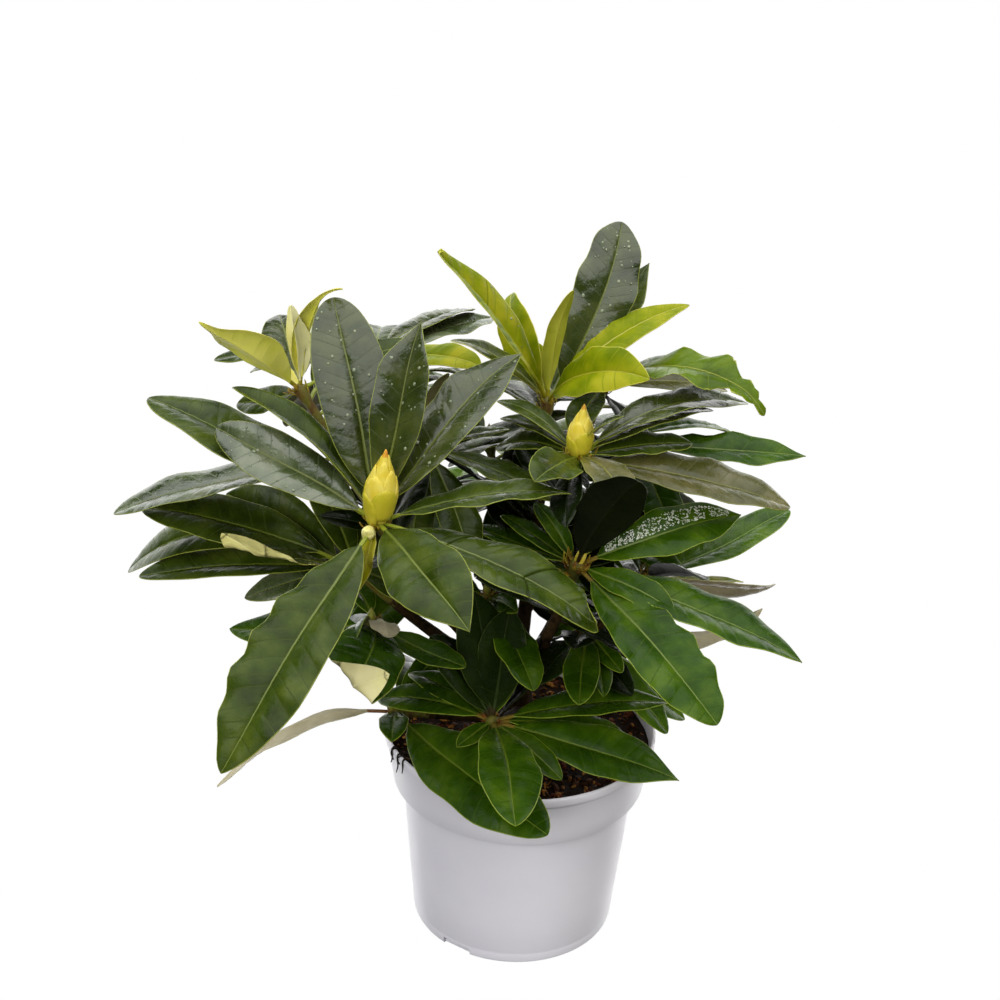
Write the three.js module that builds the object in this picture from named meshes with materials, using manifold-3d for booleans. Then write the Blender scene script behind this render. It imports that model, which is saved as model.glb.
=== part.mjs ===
// A young rhododendron, grown on in a 3 litre nursery pot.
// Millimetres, +Z up. The origin is the middle of the pot's flat underside, and the plant's
// front is towards -Y. Every shoot ends in a bud or a young tuft with a whorl of leaves round it.
import * as THREE from 'three';
import { mergeVertices } from 'three/addons/utils/BufferGeometryUtils.js';
import Module from 'manifold-3d';

const wasm = await Module();
wasm.setup();

// ---------------------------------------------------------------- driving sizes
const GAP = 0.3;                    // clearance between pieces that touch
const POT = {
  height: 150,
  rimRadius: 95,                    // outside of the rim
  rimBand: 6,                       // height of the rim's straight band
  rimStep: 1.6,                     // how far that band stands out
  rimEdge: 1.2,                     // the bevel along its top
  wall: 2.3,
  collarHeight: 39,                 // the deep band under the rim
  collarFoot: 88.8,                 // outside radius at the band's lower edge
  bodyTop: 82,                      // outside radius of the body under the band
  baseRadius: 72.6,
  baseEdge: 1.5,
  baseThickness: 2.2,
  segments: 32,
  notches: 3,                       // drainage notches round the base's edge
  notchWidth: 22,
  notchHeight: 6,
  notchDepth: 7,
  notchTurn: 117.5,                 // degrees from +X to the first notch
};
const SOIL = {
  level: 140,
  crown: 2,                         // how much higher it is round the trunk
  dip: 1,                           // how much lower it is at the wall
  shoulder: 0.6,                    // share of the radius out to which it stays above its level
  wallGap: 0.8,                     // from the pot's wall
  heartRadius: 18,
  floorGap: 1,                      // above the drainage notches
  segments: 24,
};
const TRUNK = {
  foot: [3, 4],
  course: [[-1, 1, 8], [-4, 5, 28]],          // where its middle runs, from the foot
  top: [-4, 10, 188],
  flareRadius: 15,                  // at the ground
  footRadius: 10,                   // above the root flare
  topRadius: 7,
  flareShare: 1 / 6,                // of the trunk's length
  sides: 9,
  steps: 7,
};
const LIMB = {
  share: 0.72,                      // the bough ends here along its shoot, and the mass begins
  middle: 0.4,                      // where the middle of its curve lies from foot to tip
  bendShare: 0.6,                   // how much of its bend that middle takes up
  parentShare: 0.8,                 // of the parent's thickness
  thickest: 5.4,
  thinnest: 2.7,
  sides: 6,
  steps: 3,
};
const LEAF = {
  petiole: 0.12,                    // share of the length that is stalk
  stalkHalf: 1.5,
  tipHalf: 0.6,
  widest: 0.56,                     // where along the blade it is widest
  tipPower: 0.55,                   // roundness of the tip
  thickness: 1 / 75,                // of the leaf's length, at the midrib
  seat: 4,                          // a stalk starts this far out from the middle of the knob
  stations: [0.13, 0.32, 0.6, 0.87, 1],
  spacing: 0.8,                     // how far two masses of leaves stay apart
  bladeStart: 0.3,                  // leaves of one whorl may touch nearer to the stem than this
};
// The crowded stalk bases round a shoot's tip: how far it stands above the whorl, and its rings,
// each a distance below that crest with a radius.
const KNOB = { rise: 5, rings: [[15, 2.9], [9, 5.2], [3, 5.8], [0, 2.6]] };
// A bud's outline is a stretch of a sine arch: where it starts, how far down its belly sits, how
// blunt it is, and its least thickness.
const BUD = { sides: 7, steps: 4, foot: 0.2, belly: 1.15, blunt: 0.8, least: 0.08 };
const CROWN = { centre: [-38, 8, 300], reach: [240, 202, 225] };     // the space that it fills
const GOLDEN_SHARE = 0.618;         // of the arc, from one leaf of a spiral to the next
// How the leaves of a spiral differ: the least share or degrees, and the most that is added.
const VARIETY = {
  length: [0.82, 0.3],              // of the spiral's length
  width: [0.29, 0.06],              // of the leaf's length
  arch: [0.04, 0.06],
  rise: [-5, 10],
  roll: [-15, 30],
};
const SEED_STEP = 101;              // from a name's length to its seed
const LEHMER = { factor: 16807, modulus: 2147483647 };
// What a leaf of a spiral tries in turn when its place is taken: degrees round, degrees up, size.
const ATTEMPTS = [[0, 0, 1], [12, 9, 0.94], [-12, -9, 0.94], [16, -16, 0.84], [-18, 16, 0.84]];

const COLOUR = {
  pot: 0xc9c6cc,
  soil: 0x3a2618,
  bark: 0x6b5a35,
  leaf: 0x3d5f22,
};

// ---------------------------------------------------------------- the shoots
// tip: where the whorl sits. from: the limb it grows out of, and how far along that limb.
// Each leaf is [heading, rise, length, width, extras]: degrees from +X, degrees up, mm, mm.
// spiral: leaves round the sides that are laid out by the golden angle.
const SHOOTS = {
  front_left: {
    tip: [-95, -70, 332], from: ['trunk', 0.86], bend: [-40, -45, 30],
    buds: [{ length: 50, radius: 10, lean: [6, -4] }, { length: 9, radius: 3.6, lean: [-40, -75] }],
    leaves: [
      [112, 50, 151, 48, { roll: -10 }],
      [73, 57, 130, 39, { fold: 30, roll: 10 }],
      [45, 37, 147, 43, { roll: 5 }],
      [165, 24, 116, 36, { roll: -32 }],
      [156, 18, 175, 52, { roll: -7, arch: 0.01 }],
      [156, 34, 124, 31, { fold: 28, roll: 10, arch: 0.08 }],
      [9, 9, 121, 36, {}],
      [-25, -12, 162, 48, {}],
      [-60, -8, 121, 46, { roll: 24, arch: 0.06 }],
      [-118, -30, 183, 52, { roll: -3, arch: 0.06, sway: 0.02 }],
      [-115, -64, 46, 17, { fold: 30 }],
    ],
  },
  left_high: {
    tip: [-155, 30, 380], from: ['front_left', 0.3], bend: [-30, 20, 20],
    leaves: [
      [-129, 37, 104, 40, { roll: 31, arch: 0.03 }],
      [-100, 74, 65, 22, {}],
      [-28, 73, 85, 26, { arch: 0.07 }],
      [108, 19, 90, 34, { arch: 0.02 }],
      [142, -21, 68, 24, { roll: -40, arch: -0.05 }],
      [144, 37, 28, 9, {}],
      [-168, -11, 156, 45, { down: 52, arch: 0 }],
    ],
    spiral: { count: 3, start: 20, arc: 90, rise: 14, fall: 6, length: 108, down: 10 },
  },
  left: {
    tip: [-118, 0, 266], from: ['trunk', 0.62], bend: [-30, 0, 10],
    leaves: [
      [177, 15, 146, 46, { roll: -20 }],
      [147, 12, 117, 42, { roll: -35 }],
      [168, -9, 166, 44, { arch: 0.22, roll: -20 }],
      [-151, 18, 98, 29, { arch: 0.01 }],
      [-172, -16, 75, 23, { roll: -30 }],
      [-15, -15, 62, 24, { roll: 35 }],
      [184, -3, 142, 36, { roll: -12, arch: 0.04 }],
    ],
    spiral: { count: 4, start: 60, arc: 80, rise: 42, fall: 13, length: 92, down: 4 },
  },
  back_left: {
    tip: [-112, 95, 385], from: ['left_high', 0.35], bend: [0, 25, 15],
    leaves: [
      [55, 5, 114, 34, { roll: -10 }],
      [47, 3, 119, 35, { arch: 0.02 }],
      [-40, 11, 99, 29, { roll: 14, arch: 0.03 }],
    ],
    spiral: { count: 8, start: 75, arc: 110, rise: 12, fall: 6, length: 118, down: 4 },
  },
  middle: {
    tip: [-70, 30, 342], from: ['trunk', 0.93], bend: [10, 25, 0],
    leaves: [
      [36, 1, 67, 20, {}],
      [-50, 72, 62, 19, { arch: 0.09 }],
      [-26, -10, 96, 30, {}],
      [-5, -22, 84, 28, { roll: -12 }],
      [-62, -38, 92, 30, {}],
      [-98, -46, 84, 28, {}],
    ],
    spiral: { count: 4, start: 80, arc: 140, rise: 8, fall: 7, length: 88, down: 3 },
  },
  top: {
    tip: [9, 50, 371], from: ['trunk', 0.97], bend: [5, 25, 10],
    leaves: [
      [-173, 52, 135, 40, { roll: -20, arch: 0.06 }],
      [116, 40, 95, 30, { roll: -55, arch: 0.07 }],
      [105, 48, 45, 14, { roll: -30 }],
      [-39, 80, 83, 24, {}],
      [58, 50, 140, 44, { roll: 32, arch: 0.06, sway: -0.05 }],
      [-48, 26, 98, 38, { roll: 50, arch: 0.13, sway: 0.05 }],
      [20, 32, 118, 36, { roll: 10, arch: 0.11 }],
      [48, 38, 130, 36, { arch: -0.02 }],
      [138, 36, 37, 12, { roll: -15 }],
      [158, 26, 80, 24, { arch: 0.09 }],
    ],
    spiral: { count: 4, start: 70, arc: 130, rise: 12, fall: 7, length: 112, down: 9 },
  },
  upper_right: {
    tip: [29, 0, 352], from: ['top', 0.35], bend: [10, -15, 0],
    buds: [{ length: 38, radius: 8.5, lean: [3, -3] }],
    leaves: [
      [-114, 8, 70, 32, { roll: -20 }],
      [-67, -3, 76, 28, { arch: 0.12 }],
      [145, 12, 64, 20, { arch: 0.1 }],
      [145, -9, 66, 20, { arch: 0.14, roll: -20 }],
      [151, 24, 67, 20, { arch: 0.11 }],
      [-20, 50, 44, 16, { arch: 0.12 }],
      [14, 4, 78, 25, { roll: 12 }],
      [19, 17, 98, 29, { arch: 0.07 }],
      [20, 14, 124, 37, { arch: 0.12 }],
      [-1, -10, 144, 43, { roll: 16, arch: 0.02 }],
    ],
  },
  right_top: {
    tip: [48, 80, 374], from: ['top', 0.45], bend: [5, 15, 0],
    leaves: [
      [15, -5, 93, 28, { roll: 15, arch: 0.07 }],
      [-40, 9, 130, 40, { roll: 13, arch: 0.15, sway: 0.03 }],
      [-112, -14, 62, 24, {}],
    ],
    spiral: { count: 7, start: 35, arc: 190, rise: 6, fall: 5, length: 108, down: 3 },
  },
  right_high: {
    tip: [66, 62, 342], from: ['top', 0.3], bend: [20, 10, 0],
    leaves: [
      [2, -3, 125, 36, { roll: 11, arch: -0.02 }],
      [-70, -26, 100, 32, {}],
    ],
    spiral: { count: 6, start: 25, arc: 120, rise: -6, fall: 6, length: 108, down: 4 },
  },
  right: {
    tip: [30, -40, 293], from: ['trunk', 0.8], bend: [15, -30, 20],
    buds: [{ length: 17, radius: 3.4, lean: [20, 0] }],
    leaves: [
      [21, 11, 119, 38, { roll: 25 }],
      [-17, -14, 154, 46, { roll: 5, arch: 0.03 }],
      [-29, -9, 70, 24, { roll: 20 }],
      [-52, -19, 143, 46, { roll: 12, arch: 0.03 }],
      [147, 4, 85, 27, { arch: 0 }],
      [137, 13, 69, 20, { arch: 0 }],
      [120, 24, 58, 17, {}],
      [-61, 53, 107, 36, { roll: -38, arch: 0.03, sway: -0.04 }],
    ],
    spiral: { count: 2, start: 60, arc: 80, rise: 6, fall: 8, length: 80, down: 8 },
  },
  right_low: {
    tip: [84, 46, 246], from: ['trunk', 0.7], bend: [25, 10, 0],
    leaves: [
      [29, 15, 128, 40, { arch: -0.05 }],
      [11, -9, 100, 30, { roll: 130, arch: 0.03 }],
      [20, -9, 80, 24, { roll: -10, arch: -0.03 }],
    ],
    spiral: { count: 7, start: 50, arc: 170, rise: 14, fall: 6, length: 108, down: 3 },
  },
  heart_right: {
    tip: [42, 4, 222], from: ['right_low', 0.35], bend: [5, -15, 0],
    leaves: [
      [-95, -8, 80, 25, {}],
      [-80, -14, 62, 18, { roll: -19 }],
      [-64, -5, 51, 15, { roll: 18 }],
      [-22, -44, 90, 27, { roll: 16, arch: 0 }],
      [3, -41, 102, 30, { roll: 24, arch: -0.04, sway: -0.04 }],
      [14, 1, 130, 38, { roll: 166, arch: 0.09 }],
    ],
    spiral: { count: 3, start: 60, arc: 130, rise: 24, fall: 8, length: 62, down: 3 },
  },
  front_low: {
    tip: [-20, -55, 184], from: ['trunk', 0.3], bend: [-5, -20, 5],
    leaves: [
      [-13, -9, 128, 42, { roll: 14, arch: 0.02 }],
      [10, -11, 95, 30, { roll: 8 }],
      [11, 3, 120, 37, {}],
      [-82, 1, 119, 40, { roll: -9, arch: 0.07 }],
      [141, 7, 76, 24, { roll: -8 }],
      [159, -2, 84, 28, { roll: -14, arch: 0.1 }],
      [-124, 0, 39, 13, { roll: -20 }],
      [-41, -14, 63, 19, { roll: 14 }],
    ],
    spiral: { count: 3, start: 50, arc: 90, rise: 30, fall: 5, length: 72, down: 1 },
  },
  front_low_left: {
    tip: [-86, -28, 172], from: ['trunk', 0.2], bend: [-15, 0, 0],
    leaves: [
      [-49, -3, 156, 50, { roll: 23, arch: 0.02, sway: -0.03 }],
      [-88, 12, 56, 20, { arch: 0.07 }],
      [-178, -29, 139, 38, { roll: 191, arch: -0.15 }],
    ],
    spiral: { count: 3, start: 60, arc: 110, rise: 22, fall: 8, length: 72, down: 2 },
  },
  left_low: {
    tip: [-100, -30, 240], from: ['left', 0.3], bend: [-10, -15, 0],
    leaves: [
      [-95, 2, 124, 46, { roll: -20, arch: 0.1, sway: 0.03 }],
      [-76, 20, 58, 20, { roll: 170, arch: -0.1 }],
      [-100, 14, 62, 20, { roll: 40, arch: 0.12 }],
      [161, -14, 113, 34, { arch: -0.02, roll: -25 }],
      [-32, -6, 73, 22, { roll: 12, arch: -0.04 }],
    ],
    spiral: { count: 2, start: 100, arc: 60, rise: -8, fall: 8, length: 96, down: 3 },
  },
  heart: {
    tip: [-26, 12, 240], from: ['trunk', 0.95], bend: [0, 0, 0],
    leaves: [
      [-65, 16, 49, 16, { roll: 32, arch: 0.09 }],
      [-69, -13, 91, 29, {}],
      [-118, -12, 34, 15, {}],
      [70, 60, 84, 28, {}],
      [15, 46, 62, 24, {}],
    ],
    spiral: { count: 5, start: 70, arc: 150, rise: 26, fall: 6, length: 74, down: 2 },
  },
  back: {
    tip: [-30, 116, 316], from: ['trunk', 0.9], bend: [0, 40, 10],
    leaves: [],
    spiral: { count: 13, start: 20, rise: 34, fall: 4.5, length: 116, down: 3 },
  },
  back_right: {
    tip: [56, 108, 268], from: ['trunk', 0.75], bend: [20, 35, 0],
    leaves: [],
    spiral: { count: 11, start: 100, rise: 34, fall: 5, length: 106, down: 2.5 },
  },
  back_low: {
    tip: [-76, 96, 236], from: ['trunk', 0.55], bend: [-20, 30, 0],
    leaves: [],
    spiral: { count: 11, start: 130, rise: 30, fall: 5, length: 110, down: 2.5 },
  },
};

const radians = THREE.MathUtils.degToRad;
const { lerp } = THREE.MathUtils;
const vector = ([x, y, z]) => new THREE.Vector3(x, y, z);

// the same row of numbers each time, from 0 to 1
function seeded(seed) {
  let state = seed;
  return () => {
    state = (state * LEHMER.factor) % LEHMER.modulus;
    return state / LEHMER.modulus;
  };
}

// A unit vector that points degrees round from +X and degrees up.
function direction(heading, rise) {
  const [h, r] = [heading, rise].map(radians);
  return new THREE.Vector3(Math.cos(r) * Math.cos(h), Math.cos(r) * Math.sin(h), Math.sin(r));
}

// ---------------------------------------------------------------- solids from rings
// A closed skin over rings of points that run anticlockwise seen from the far end.
function loft(rings) {
  const sides = rings[0].length;
  const last = rings.length - 1;
  const index = [];
  for (let ring = 0; ring < last; ring += 1) {
    for (let side = 0; side < sides; side += 1) {
      const next = (side + 1) % sides;
      const [a, b] = [ring * sides + side, ring * sides + next];
      const [c, d] = [a + sides, b + sides];
      index.push(a, b, c, b, d, c);
    }
  }
  for (let side = 1; side < sides - 1; side += 1) {
    index.push(0, side + 1, side);
    index.push(last * sides, last * sides + side, last * sides + side + 1);
  }
  const geometry = new THREE.BufferGeometry();
  const position = rings.flat().flatMap((point) => [point.x, point.y, point.z]);
  geometry.setAttribute('position', new THREE.Float32BufferAttribute(position, 3));
  geometry.setIndex(index);
  return geometry;
}

function toManifold(geometry) {
  const bare = geometry.clone();
  bare.deleteAttribute('normal');
  bare.deleteAttribute('uv');
  const merged = mergeVertices(bare, 1e-4);
  return new wasm.Manifold(new wasm.Mesh({
    numProp: 3,
    vertProperties: Float32Array.from(merged.attributes.position.array),
    triVerts: Uint32Array.from(merged.index.array),
  }));
}

function toGeometry(solid) {
  const mesh = solid.getMesh();
  const position = new Float32Array(mesh.numVert * 3);
  for (let vertex = 0; vertex < mesh.numVert; vertex += 1) {
    for (let axis = 0; axis < 3; axis += 1) {
      position[vertex * 3 + axis] = mesh.vertProperties[vertex * mesh.numProp + axis];
    }
  }
  const geometry = new THREE.BufferGeometry();
  geometry.setAttribute('position', new THREE.BufferAttribute(position, 3));
  geometry.setIndex(Array.from(mesh.triVerts));
  return geometry;
}

// The main piece of a solid, with any hollow that the joining sealed filled in.
function largest(solid) {
  return solid.decompose().reduce((best, piece) => (piece.volume() > best.volume() ? piece : best));
}

const evenly = (steps, end = 1) => Array.from({ length: steps + 1 }, (_, step) => (end * step) / steps);

// A round limb with rings at shares of a curve. radiusAt takes the share of the curve.
function limb(curve, shares, radiusAt, sides) {
  let normal = new THREE.Vector3(1, 0, 0);
  return loft(shares.map((share) => {
    const tangent = curve.getTangentAt(share);
    normal = normal.clone().addScaledVector(tangent, -normal.dot(tangent)).normalize();
    const side = tangent.clone().cross(normal);
    const centre = curve.getPointAt(share);
    const radius = radiusAt(share);
    return Array.from({ length: sides }, (_, corner) => {
      const angle = (corner / sides) * Math.PI * 2;
      return centre.clone()
        .addScaledVector(normal, Math.cos(angle) * radius)
        .addScaledVector(side, Math.sin(angle) * radius);
    });
  }));
}

// ---------------------------------------------------------------- one leaf
// Half the blade's width at a share of the leaf's length: a stalk, then a wedge, then a round tip.
function halfWidth(share, width) {
  const along = (share - LEAF.petiole) / (1 - LEAF.petiole);
  if (along <= 0) return LEAF.stalkHalf;
  if (along >= 1) return LEAF.tipHalf;
  const basePower = (LEAF.tipPower * LEAF.widest) / (1 - LEAF.widest);
  const swell = (at) => at ** basePower * (1 - at) ** LEAF.tipPower;
  const blade = (width / 2) * (swell(along) / swell(LEAF.widest));
  return Math.max(blade, LEAF.stalkHalf);
}

// first is the share of the length where the skin starts, and grow fattens the leaf all round.
function leafGeometry(base, [heading, rise, length, width, extras], first, grow = 0) {
  const { arch = 0.05, roll = 0, fold = 10, sway = 0 } = extras;
  const [turn, lean] = [roll, fold].map(radians);
  const along = direction(heading, rise);
  const level = direction(heading + 90, 0);
  const upper = along.clone().cross(level);
  const side = level.clone().multiplyScalar(Math.cos(turn)).addScaledVector(upper, Math.sin(turn));
  const face = upper.clone().multiplyScalar(Math.cos(turn)).addScaledVector(level, -Math.sin(turn));
  const half = (length * LEAF.thickness) / 2 + grow;
  const stations = [first, ...LEAF.stations.filter((share) => share > first)];
  const rings = stations.map((share) => {
    const bow = 4 * share * (1 - share) * length;
    const rib = base.clone()
      .addScaledVector(along, share * length + (share === 1 ? grow : 0))
      .addScaledVector(face, arch * bow)
      .addScaledVector(side, sway * bow);
    const reach = halfWidth(share, width) + grow;
    const out = reach * Math.cos(lean);
    const lift = reach * Math.sin(lean);
    return [
      rib.clone().addScaledVector(side, out).addScaledVector(face, lift),
      rib.clone().addScaledVector(face, half),
      rib.clone().addScaledVector(side, -out).addScaledVector(face, lift),
      rib.clone().addScaledVector(face, -half),
    ];
  });
  return loft(rings);
}

// A plump pointed bud, leaning from upright by degrees towards +X and towards +Y.
function budGeometry(base, { length, radius, lean }) {
  const tilt = new THREE.Vector3(Math.tan(radians(lean[0])), Math.tan(radians(lean[1])), 1).normalize();
  const line = new THREE.LineCurve3(base, base.clone().addScaledVector(tilt, length));
  const plump = (share) => {
    const arch = Math.sin(Math.PI * lerp(BUD.foot, 1, share) ** BUD.belly);
    return radius * Math.max(BUD.least, arch ** BUD.blunt);
  };
  return limb(line, evenly(BUD.steps), plump, BUD.sides);
}

// ---------------------------------------------------------------- pot and soil
const collarFootHeight = POT.height - POT.collarHeight;

function lathe(profile, segments) {
  const points = profile.map(([radius, height]) => new THREE.Vector2(radius, height));
  const geometry = new THREE.LatheGeometry(points, segments);
  geometry.rotateX(Math.PI / 2);
  return geometry;
}

function innerRadius(height) {
  const outside = height > collarFootHeight
    ? lerp(POT.collarFoot, POT.rimRadius, (height - collarFootHeight) / POT.collarHeight)
    : lerp(POT.baseRadius, POT.bodyTop, height / collarFootHeight);
  return outside - POT.wall;
}

function potSolid() {
  const ledge = collarFootHeight + POT.wall;
  const shell = toManifold(lathe([
    [0, 0],
    [POT.baseRadius - POT.baseEdge, 0],
    [POT.baseRadius, POT.baseEdge],
    [POT.bodyTop, collarFootHeight],
    [POT.collarFoot, collarFootHeight],
    [POT.rimRadius - POT.rimStep, POT.height - POT.rimBand - POT.rimEdge],
    [POT.rimRadius, POT.height - POT.rimBand],
    [POT.rimRadius, POT.height - POT.rimEdge],
    [POT.rimRadius - POT.rimEdge, POT.height],
    [innerRadius(POT.height), POT.height],
    [innerRadius(ledge), ledge],
    [innerRadius(collarFootHeight), collarFootHeight],
    [innerRadius(POT.baseThickness), POT.baseThickness],
    [0, POT.baseThickness],
  ], POT.segments));
  const cutter = new THREE.BoxGeometry(POT.notchDepth, POT.notchWidth, POT.notchHeight * 2);
  const notches = Array.from({ length: POT.notches }, (_, number) => {
    const turn = radians(POT.notchTurn + (number * 360) / POT.notches);
    const notch = cutter.clone();
    notch.translate(POT.baseRadius, 0, 0);
    notch.rotateZ(turn);
    return toManifold(notch);
  });
  return notches.reduce((rest, notch) => rest.subtract(notch), shell);
}

// The root ball's medium, level where the trunk stands and a little lower at the wall.
function soilSolid() {
  const foot = POT.notchHeight + SOIL.floorGap;
  const ledge = collarFootHeight + POT.wall;
  const outside = (height) => innerRadius(height) - SOIL.wallGap;
  return toManifold(lathe([
    [0, foot],
    [outside(foot), foot],
    [outside(collarFootHeight), ledge],
    [outside(ledge), ledge + SOIL.wallGap],
    [outside(SOIL.level), SOIL.level - SOIL.dip],
    [outside(SOIL.level) * SOIL.shoulder, SOIL.level + SOIL.crown / 2],
    [SOIL.heartRadius, SOIL.level + SOIL.crown],
    [0, SOIL.level + SOIL.crown],
  ], SOIL.segments));
}

const pot = potSolid();
const soil = soilSolid();

// ---------------------------------------------------------------- trunk and boughs
const groundLevel = SOIL.level + SOIL.crown + GAP;
const trunkFoot = vector([...TRUNK.foot, groundLevel]);
const trunkCourse = TRUNK.course.map((offset) => trunkFoot.clone().add(vector(offset)));
const trunkCurve = new THREE.CatmullRomCurve3([trunkFoot, ...trunkCourse, vector(TRUNK.top)]);
function trunkRadius(share) {
  const taper = lerp(TRUNK.footRadius, TRUNK.topRadius, share);
  const flare = Math.max(0, 1 - share / TRUNK.flareShare) ** 2;
  return taper + (TRUNK.flareRadius - TRUNK.footRadius) * flare;
}

const limbs = {
  trunk: { curve: trunkCurve, radiusAt: trunkRadius, end: 1, sides: TRUNK.sides, steps: TRUNK.steps },
};
for (const [name, shoot] of Object.entries(SHOOTS)) {
  const [parentName, share] = shoot.from;
  const parent = limbs[parentName];
  const at = parent.curve.getPointAt(share * parent.end);
  const tip = vector(shoot.tip);
  const middle = at.clone().lerp(tip, LIMB.middle).addScaledVector(vector(shoot.bend), LIMB.bendShare);
  const crest = tip.clone().addScaledVector(tip.clone().sub(middle).normalize(), KNOB.rise);
  const thick = Math.min(parent.radiusAt(share * parent.end) * LIMB.parentShare, LIMB.thickest);
  limbs[name] = {
    curve: new THREE.QuadraticBezierCurve3(at, middle, crest),
    radiusAt: (along) => lerp(thick, LIMB.thinnest, along),
    end: LIMB.share,
    sides: LIMB.sides,
    steps: LIMB.steps,
  };
}

// Each limb is cut back from the ground and the limbs made before it, so that it seats on them
// with the gap between.
const wood = {};
const ground = new THREE.BoxGeometry(POT.rimRadius, POT.rimRadius, SOIL.level);
ground.translate(0, 0, groundLevel - SOIL.level / 2);
const before = [toManifold(ground)];
for (const [name, { curve, radiusAt, end, sides, steps }] of Object.entries(limbs)) {
  const shares = evenly(steps, end);
  const whole = toManifold(limb(curve, shares, radiusAt, sides));
  wood[name] = largest(before.reduce((rest, other) => rest.subtract(other), whole));
  before.push(toManifold(limb(curve, shares, (share) => radiusAt(share) + GAP, sides)));
}

// ---------------------------------------------------------------- the masses of leaves
// A shoot's stem, swelling at its end into the knob that the whorl's stalks come out of.
function stemSolid(name) {
  const { curve, radiusAt } = limbs[name];
  const long = curve.getLength();
  const start = LIMB.share + GAP / long;
  const swelling = KNOB.rings.map(([below, radius]) => [1 - below / long, radius]);
  const radii = new Map([[start, radiusAt(start)], ...swelling.filter(([share]) => share > start)]);
  return toManifold(limb(curve, [...radii.keys()], (share) => radii.get(share), LIMB.sides));
}

// down is how far below the shoot's tip the leaf's stalk stands on its stem.
function leafBase(name, { down = 0 }) {
  if (!down) return vector(SHOOTS[name].tip);
  const { curve } = limbs[name];
  return curve.getPointAt(Math.max(1 - (KNOB.rise + down) / curve.getLength(), LIMB.share));
}

// A leaf on the knob starts a little way out in it, and one on the stem starts inside the stem.
function leafSolid(name, leaf) {
  const [, , length, , extras] = leaf;
  const seat = extras.down ? 0 : LEAF.seat / length;
  return toManifold(leafGeometry(leafBase(name, extras), leaf, seat));
}

const masses = {};
for (const [name, shoot] of Object.entries(SHOOTS)) {
  const tip = vector(shoot.tip);
  const buds = (shoot.buds ?? []).map((bud) => toManifold(budGeometry(tip, bud)));
  const leaves = shoot.leaves.map((leaf) => leafSolid(name, leaf));
  masses[name] = [...buds, ...leaves].reduce((mass, piece) => mass.add(piece), stemSolid(name));
}

function insideCrown(point) {
  const offset = point.clone().sub(vector(CROWN.centre)).divide(vector(CROWN.reach));
  return offset.length() < 1;
}

// The leaves of a spiral: younger ones stand up near the tip, older ones spread and hang below.
function spiralLeaves(name, { count, start, arc = 360, rise, fall, length, down }) {
  const chance = seeded(name.length * SEED_STEP + count);
  const vary = ([least, more]) => least + more * chance();
  return Array.from({ length: count }, (_, number) => {
    const long = length * vary(VARIETY.length);
    return [
      start + arc * ((number * GOLDEN_SHARE) % 1),
      rise - number * fall + vary(VARIETY.rise),
      long,
      long * vary(VARIETY.width),
      { arch: vary(VARIETY.arch), roll: vary(VARIETY.roll), down: number * down },
    ];
  });
}

// Free: inside the crown, clear of the pot, the wood and every other mass, and with its blade
// clear of the leaves of its own whorl.
function isFree(name, leaf) {
  const [heading, rise, length, , extras] = leaf;
  const base = leafBase(name, extras);
  const tip = base.clone().addScaledVector(direction(heading, rise), length);
  if (!insideCrown(tip)) return false;
  const whole = toManifold(leafGeometry(base, leaf, 0, LEAF.spacing));
  const blade = toManifold(leafGeometry(base, leaf, LEAF.bladeStart, LEAF.spacing));
  const others = Object.keys(masses).filter((other) => other !== name);
  const around = [pot, soil, ...Object.values(wood), ...others.map((other) => masses[other])];
  return around.every((other) => whole.intersect(other).isEmpty())
    && blade.intersect(masses[name]).isEmpty();
}

for (const [name, { spiral }] of Object.entries(SHOOTS)) {
  if (!spiral) continue;
  for (const [heading, rise, length, width, extras] of spiralLeaves(name, spiral)) {
    const trials = ATTEMPTS.map(([turn, lift, size]) => (
      [heading + turn, rise + lift, length * size, width * size, extras]));
    const leaf = trials.find((trial) => isFree(name, trial));
    if (leaf) masses[name] = masses[name].add(leafSolid(name, leaf));
  }
}

// ---------------------------------------------------------------- the scene graph
const material = {
  pot: new THREE.MeshStandardMaterial({ color: COLOUR.pot, roughness: 0.45, metalness: 0 }),
  soil: new THREE.MeshStandardMaterial({ color: COLOUR.soil, roughness: 0.95, metalness: 0 }),
  bark: new THREE.MeshStandardMaterial({ color: COLOUR.bark, roughness: 0.8, metalness: 0 }),
  leaf: new THREE.MeshStandardMaterial({ color: COLOUR.leaf, roughness: 0.35, metalness: 0 }),
};

const plant = new THREE.Group();
function place(name, solid, look) {
  const mesh = new THREE.Mesh(toGeometry(solid), look);
  mesh.name = name;
  plant.add(mesh);
}
place('pot', pot, material.pot);
place('soil', soil, material.soil);
for (const [name, solid] of Object.entries(wood)) {
  place(name === 'trunk' ? 'trunk' : `bough_${name}`, solid, material.bark);
}
for (const [name, solid] of Object.entries(masses)) {
  place(`foliage_${name}`, largest(solid), material.leaf);
}

export default plant;
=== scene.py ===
"""The looks of a young rhododendron in its nursery pot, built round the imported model.

Sizes are in millimetres, and become Blender's metres where a mesh is made. +Z is up and the
plant's front is towards -Y, as in the frame. The shoots and their leaves follow the rule that
the solids were made by, with a finer blade, real petioles, buds in scales and rough bark.
"""

import math
import random

import bpy
import numpy as np
from mathutils import Matrix, Vector, noise
from mathutils.bvhtree import BVHTree


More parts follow.
